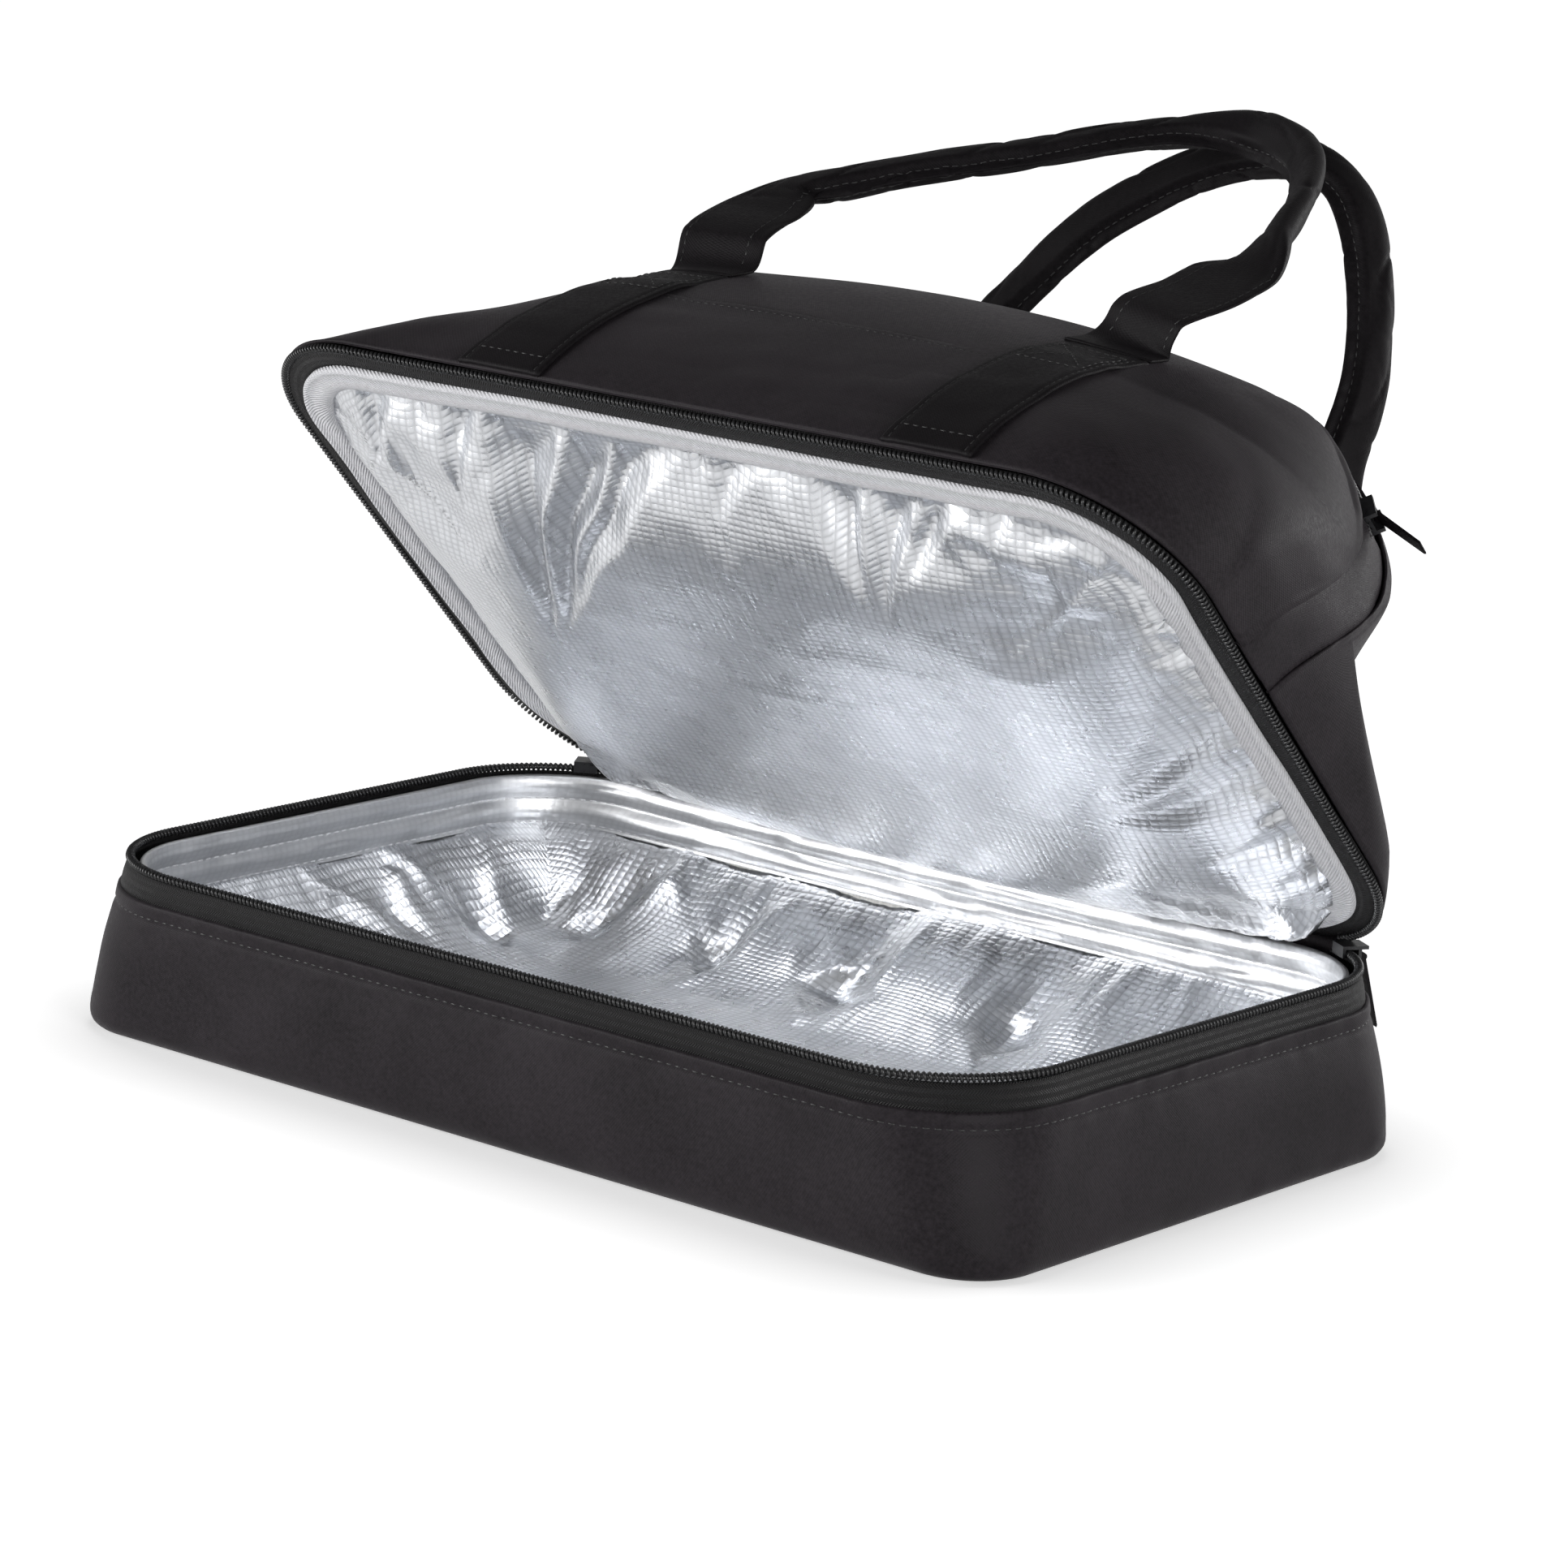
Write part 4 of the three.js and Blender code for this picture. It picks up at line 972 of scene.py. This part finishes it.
def just_off(u):
    return 0.3


class Sewn:
    """A piece sewn flat onto a side panel between two x. gap gives the room under it at a height u."""

    def __init__(self, x0, x1, side, gap, thick):
        self.x0, self.x1, self.side, self.gap, self.thick = x0, x1, side, gap, thick

    def face(self, u, x):
        """How far its face stands off the panel: rolled edges and slight waves."""
        edge = np.minimum(x - self.x0, self.x1 - x)
        roll = -0.9 * bell(edge, 0, 0.9) - 0.4 * bell(edge, 3.0, 1.1)
        return self.gap(u) + self.thick + roll + 0.35 * noise(x / 22, u * 14, 95)

    def piece(self, name, top, columns, material, node):
        x = np.linspace(self.x0, self.x1, columns)
        us = np.linspace(u_low + 0.004, top, 60)
        grid = np.stack([panel_point(u, x, self.face(u, x), self.side) for u in us])
        obj = sheet(name, stand(grid), material, self.thick, flip=self.side > 0)
        settle(obj, "upper", [node])

    def stitches(self, name, points, proud=0.0):
        """Stitches along (u, x) points of its face."""
        line, above = (
            stand(np.stack([panel_point(u, x, self.face(u, x) + proud + d, self.side) for u, x in points]))
            for d in (0, 2)
        )
        stitch_row(name, line, above - line, black_thread, "upper", 2.5, 3.4, 0.3)


pocket = Sewn(STRAP_LEFT, STRAP_RIGHT, -1, just_off, POCKET_THICK)
pocket.piece("front_slip_pocket", POCKET_TOP, 130, cloth, "front_pocket")
hem_line = [(POCKET_TOP - 0.02, x) for x in np.linspace(STRAP_LEFT + 20, STRAP_RIGHT - 20, 90)]
pocket.stitches("front_pocket_hem_stitches", hem_line)
BOX = [(0.47, -14), (0.47, 14), (0.625, 14), (0.625, -14), (0.47, -14), (0.625, 14), (0.625, -14), (0.47, 14)]
for side, word, gap in ((-1, "front", over_pocket), (1, "rear", just_off)):
    for centre, hand in ((STRAP_LEFT, "left"), (STRAP_RIGHT, "right")):
        name = f"{word}_{hand}_strap"
        strap = Sewn(centre - STRAP_W / 2, centre + STRAP_W / 2, side, gap, STRAP_THICK)
        strap.piece(f"{name}_sewn", SEWN_TOP + 0.021, 34, strap_cloth_painted_shade, f"{word}_strap_{hand}")
        seams = [
            (f"stitches_{k}", [(u, centre + dx) for u in np.linspace(u_low + 0.01, SEWN_TOP, 60)])
            for k, dx in enumerate((-15.8, 15.8))
        ]
        seams.append(("bar", [(0.085, centre + x) for x in np.linspace(-15, 15, 20)]))
        box = []
        for (ua, xa), (ub, xb) in zip(BOX[:-1], BOX[1:]):
            for t in np.linspace(0, 1, 14, endpoint=False):
                box.append((lerp(ua, ub, t), centre + lerp(xa, xb, t)))
        seams.append(("box", box))
        for seam, points in seams:
            strap.stitches(f"{name}_{seam}", points, 0.05)


def between(a, b, ta, tb, t):
    """On the straight line that is a at ta and b at tb."""
    return (tb - t) / (tb - ta) * a + (t - ta) / (tb - ta) * b


def catmull(points, n):
    """Centripetal curve through points, resampled evenly, and its length."""
    p = np.asarray(points, float)
    p = np.vstack([2 * p[0] - p[1], p, 2 * p[-1] - p[-2]])
    knots = np.concatenate([[0], np.cumsum(np.linalg.norm(np.diff(p, axis=0), axis=1) ** 0.5)])
    out = []
    for i in range(len(p) - 3):
        t0, t1, t2, t3 = knots[i:i + 4]
        t = np.linspace(t1, t2, 60, endpoint=False)[:, None]
        a1, a2, a3 = (between(p[k], p[k + 1], knots[k], knots[k + 1], t) for k in range(i, i + 3))
        b1, b2 = between(a1, a2, t0, t2, t), between(a2, a3, t1, t3, t)
        out.append(between(b1, b2, t1, t2, t))
    curve = Run(np.vstack([*out, p[-2]]), np.zeros((60 * len(out) + 1, 3)))
    return curve.mix(curve.p, np.linspace(0, curve.length, n)), curve.length


def handle(name, side, shares, facing, fold, twist, node, body):
    """A strap that leaves its sewn ends flat, folds over a cord into a grip stitched below, and twists."""
    def end_point(x, share):
        u = SEWN_TOP + lerp(ROOT_STEP, LEAVE_STEP, share)
        tilt = 2 * CROWN * u * u * x / crown_half ** 2 * BODY_H * (u - SEWN_TOP - ROOT_STEP)
        return settled(panel_point(u, x + tilt, 1.7 + 1.2 * share * lerp(share, 1, share), side))

    points = [end_point(STRAP_LEFT, t) for t in (0, 0.5, 1)]
    points += [np.array([x * STRAP_GAP, y * RIM[1], h * BODY_H]) for x, y, h in shares]
    points += [end_point(STRAP_RIGHT, t) for t in (1, 0.5, 0)]
    n, k = 440, 52
    centre, total = catmull(points, n)
    along = unit(np.gradient(centre, axis=0))
    flat = unit(np.array(facing) - along * (along @ np.array(facing))[:, None])
    over = np.cross(along, flat)
    s = np.linspace(0, 1, n)
    first, last, degrees = twist
    turn = np.radians(degrees) * hump(s, first, first + 0.12, last - 0.1, last)
    c, q = np.cos(turn)[:, None], np.sin(turn)[:, None]
    face, across = flat * c + over * q, over * c - flat * q

    # The section goes from a flat strap to a folded grip whose lower edge is pressed thin.
    folded = (smooth(s, *fold[0]) * smooth(1 - s, *fold[1]))[:, None]
    ang = 2 * math.pi * (np.arange(k) + 0.5) / k
    power = lerp(0.35, 0.8, folded)
    sx, sy = (np.sign(v) * np.abs(v) ** power for v in (np.cos(ang), np.sin(ang)))
    low = -side
    mm = (s * total)[:, None]
    hem = folded * smooth(low * sx, 0.35, 0.7)
    part = 4 * folded * (1 - folded)
    crease = folds(mm / 24 + 0.5 * sx, 0.9 * sx, 101 + side) ** 7 * folded
    crease += 0.8 * folds(mm / 17 - 0.8 * sx, 0.7 * sx + 3, 105 + side) ** 7 * (0.3 + 0.7 * part)
    pucker = 0.35 * noise(mm / 3.1, 0.4 * sx, 103 + side) * hem
    dent = noise(mm / 21, ang * 0.9, 107 + side) * folded
    out = lerp(1.7, GRIP_THICK, folded) / 2 * sy * (1 - 0.66 * hem) * (1 + 0.07 * dent)
    out = out - np.sign(sy) * (0.9 * crease - pucker)
    out = np.where(sy > 0, np.maximum(out, 0.45), np.minimum(out, -0.45))
    bow = 0.27 * low * (1 - folded) * (1 - sx ** 2)
    wide = lerp(STRAP_W, GRIP_W, folded) / 2 * sx * (1 + 0.05 * dent - 0.05 * crease)
    sec = centre[:, None] + across[:, None] * wide[..., None] + face[:, None] * (out + bow)[..., None]

    # The ends lie on the panel.
    fall = half_width(0.7, side) - half_width(0.66, side)
    reach = np.hypot(flat_height(0.7) - flat_height(0.66), fall) / 0.04
    for x_end, mm_end in ((STRAP_LEFT, s * total), (STRAP_RIGHT, (1 - s) * total)):
        hug = 1 - smooth(mm_end, 4, 26)
        for i in np.flatnonzero(hug > 0):
            u = SEWN_TOP + ROOT_STEP + mm_end[i] / reach
            x = x_end + np.sign(across[i, 0]) * wide[i]
            sec[i] = lerp(sec[i], settled(panel_point(u, x, 1.7 + out[i] + 0.02 * mm_end[i], side)), hug[i])
    settle(tube(name, lid_to_world(sec), strap_cloth_painted_shade), body, [node])

    # Stitches on both faces: along the grip's lower edge, and along the other edge only where it lies flat.
    span = slice(14, n - 14)
    flat_part = folded[span, 0] < 0.25
    everywhere = np.ones_like(flat_part)
    edges = ((0.62 * low, everywhere), (-0.86 * low, flat_part))
    for j, (edge, keep, sign) in enumerate([(*e, sign) for e in edges for sign in (1, -1)]):
        col = np.argmin(np.abs(sx - edge) + 9 * (np.sign(sy) != sign), 1)
        line = lid_to_world(sec[np.arange(n), col])[span]
        up = (lid_to_world(centre + face * sign) - lid_to_world(centre))[span]
        cut = np.flatnonzero(np.diff(keep.astype(int))) + 1
        for m, (seg, lifted, on) in enumerate(zip(*(np.split(v, cut) for v in (line, up, keep)))):
            if on[0] and len(seg) > 6:
                row = f"{name}_stitches_{j}_{m}"
                stitch_row(row, seg, lifted, black_thread, body, 2.5, 3.4, 0.3)


# Handle paths as shares of the strap gap, the rim's width and the compartment's height.
FRONT = [
    (-0.406, -0.279, 0.824), (-0.406, -0.244, 0.958), (-0.396, -0.208, 1.077), (-0.332, -0.191, 1.141),
    (-0.246, -0.16, 1.254), (-0.059, -0.107, 1.437), (0.086, -0.069, 1.585), (0.209, -0.042, 1.676),
    (0.316, -0.034, 1.697), (0.428, -0.05, 1.648), (0.529, -0.08, 1.535), (0.604, -0.126, 1.373),
    (0.652, -0.172, 1.211), (0.674, -0.21, 1.077), (0.663, -0.256, 0.908), (0.62, -0.294, 0.761),
]
REAR = [
    (-0.353, 0.229, 0.831), (-0.299, 0.191, 1.042), (-0.219, 0.141, 1.254), (-0.155, 0.118, 1.373),
    (-0.064, 0.088, 1.507), (0.059, 0.065, 1.627), (0.139, 0.052, 1.683), (0.241, 0.042, 1.732),
    (0.332, 0.04, 1.746), (0.417, 0.046, 1.725), (0.487, 0.057, 1.676), (0.545, 0.074, 1.592),
    (0.588, 0.095, 1.493), (0.626, 0.118, 1.373), (0.652, 0.149, 1.232), (0.652, 0.179, 1.077),
    (0.631, 0.214, 0.901),
]
handle("front_strap_handle", -1, FRONT, (0, -0.89, 0.45), ((0.1, 0.18), (0.13, 0.21)), (0.46, 0.86, 55),
       "front_handle", "front_grip")
handle("rear_strap_handle", 1, REAR, (0, 0.94, 0.35), ((0.1, 0.18), (0.07, 0.16)), (0.5, 0.95, -55),
       "rear_handle", "rear_grip")

# Cloth over the hinge, from the tray's rear wall to the compartment.
HINGE_TRAY = [(129.6, 46.0), (131.2, 49.5), (133.6, 53.5), (134.8, 57.5), (134.8, 61.5)]
HINGE_LID = [(131.5, 5.0), (132.0, 9.5)]


def hinge_cloth():
    x = np.linspace(-171, 171, 190)
    corner = RIM[2] - np.sqrt(RIM[2] ** 2 - np.maximum(np.abs(x) - RIM[0] / 2 + RIM[2], 0) ** 2)
    rows = []
    for k, (y, z) in enumerate(HINGE_TRAY):
        slack = 0.8 * noise(x / 40, k * 0.6, 111) + 0.4 * noise(x / 13, k * 0.9, 112)
        rows.append(xyz(x, y - corner + slack, z))
    for k, (y, h) in enumerate(HINGE_LID):
        slack = 0.4 * noise(x / 40, k * 0.6, 113)
        rows.append(lid_to_world(xyz(x, y - corner + slack, h)))
    obj = sheet("hinge_cloth_strip", np.stack(rows), cloth, 0.9, flip=True)
    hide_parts("base_hinge_strip", "lid_hinge_strip")
    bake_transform(obj)


hinge_cloth()

# Rigid CAD pieces that show, and hidden layers.
for mat, nodes in (
    (enamel, ("top_zip_slider", "main_zip_slider_left", "main_zip_slider_right")),
    (strap_cloth_painted_shade, ("top_zip_pull", "main_zip_pull_left", "main_zip_pull_right")),
    (foam_skin, ("base_wall_foam", "base_floor_foam", "divider_foam")),
    (board_grain, ("base_board",)),
):
    for node in nodes:
        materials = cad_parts[node].data.materials
        materials.clear()
        materials.append(mat)

# Stage, light and camera.

def stage_floor():
    """A pale floor that glows: nearly white to the camera, more so away from the middle, dim in reflections.
    Its glow drops where the tray hides the floor, a painted contact shadow round the tray.
    """
    net = Skin("pale_floor", (0.82, 0.82, 0.82), 0.9, specular=0.0)
    rays = net.nodes.new("ShaderNodeLightPath").outputs
    away = net.nodes.new("ShaderNodeVectorMath")
    away.operation = "LENGTH"
    net.link(net.place(), away.inputs[0])
    # Painted contact shadow: the glow is cut where the tray hides the floor, by the occlusion.
    near = net.node("ShaderNodeAmbientOcclusion", Distance=0.055)
    painted_contact_shadow = net.ramp(near.outputs["AO"], [(0.5, 0.62), (0.97, 1.0)])
    glow_and_painted_shadow = net.mul(net.ramp(net.mul(away.outputs["Value"], 0.5), [(0.12, 0.82), (0.6, 0.95)]), painted_contact_shadow)
    level = net.math("MULTIPLY_ADD", rays["Is Camera Ray"], glow_and_painted_shadow, net.mul(rays["Is Glossy Ray"], 0.52))
    glow = net.node("ShaderNodeEmission", Color=(1, 1, 1, 1), Strength=level)
    add = net.nodes.new("ShaderNodeAddShader")
    net.link(net.nodes["Principled BSDF"].outputs[0], add.inputs[0])
    net.link(glow.outputs[0], add.inputs[1])
    net.link(add.outputs[0], net.nodes["Material Output"].inputs["Surface"])
    bpy.ops.mesh.primitive_plane_add(size=60, location=(0, 0, -0.0003))
    floor = bpy.context.object
    floor.name = "floor"
    floor.data.materials.append(net.mat)


def studio():
    """A white room to the camera, with a dimmer gradient for what it lights and for what mirrors it."""
    world = bpy.data.worlds.new("studio")
    scene.world = world
    world.use_nodes = True
    net = Net(world.node_tree)
    background = net.nodes["Background"].inputs
    background["Color"].default_value = (1, 1, 1, 1)
    rays = net.nodes.new("ShaderNodeLightPath").outputs
    way = net.nodes.new("ShaderNodeSeparateXYZ")
    net.link(net.nodes.new("ShaderNodeTexCoord").outputs["Generated"], way.inputs[0])
    lit = net.ramp(way.outputs["Z"], [(0.0, 0.7), (0.16, 0.6), (0.4, 0.16), (0.7, 0.05), (1.0, 0.03)])
    mirrored = net.ramp(way.outputs["Z"], [(0.0, 0.78), (0.3, 0.66), (0.65, 0.38), (1.0, 0.2)])
    rightward = net.math("MULTIPLY_ADD", way.outputs["X"], 0.5, 0.5)
    breadth = net.ramp(rightward, [(0.1, 0.6), (0.55, 0.85), (1.0, 1.0)])
    unseen = net.mul(net.mix(lit, mirrored, rays["Is Glossy Ray"]), breadth)
    net.link(net.mix(unseen, 1.0, rays["Is Camera Ray"]), background["Strength"])


def area(name, place, target, size, power):
    lamp = bpy.data.lights.new(name, "AREA")
    lamp.shape = "RECTANGLE"
    lamp.size, lamp.size_y = size
    lamp.energy = power
    obj = bpy.data.objects.new(name, lamp)
    obj.location = place
    obj.rotation_mode = "QUATERNION"
    obj.rotation_quaternion = (Vector(target) - Vector(place)).to_track_quat("-Z", "Y")
    scene.collection.objects.link(obj)


stage_floor()
studio()
area("key_front", (-1.3, -1.75, 0.34), (-0.1, 0, 0.1), (1.3, 0.5), 26)
area("side_right", (1.9, -0.9, 0.35), (0, 0.05, 0.14), (0.8, 0.6), 20)
area("left_soft", (-1.7, -1.2, 0.6), (0, 0, 0.1), (1.0, 0.7), 9)
area("rear_soft", (0.9, 1.9, 0.6), (0, 0.1, 0.12), (1.4, 0.7), 15)

AZ, EL, ROLL = math.radians(38.539), math.radians(12.909), math.radians(3.255)
DIST = 1.658099
TARGET = Vector((0.246738, -0.286555, 0.196859))
back = Vector((math.sin(AZ) * math.cos(EL), -math.cos(AZ) * math.cos(EL), math.sin(EL)))
level_right = Vector((math.cos(AZ), math.sin(AZ), 0))
right = level_right * math.cos(ROLL) + back.cross(level_right) * math.sin(ROLL)
cam = bpy.data.cameras.new("camera")
cam.sensor_width = 36
cam.lens = 134.4472
cam.clip_end = 100
camera = bpy.data.objects.new("camera", cam)
columns = (right, back.cross(right), back, TARGET + back * DIST)
camera.matrix_world = Matrix([[c[k] for c in columns] for k in range(3)] + [[0, 0, 0, 1]])
scene.collection.objects.link(camera)
scene.camera = camera
scene.view_settings.view_transform = "Standard"
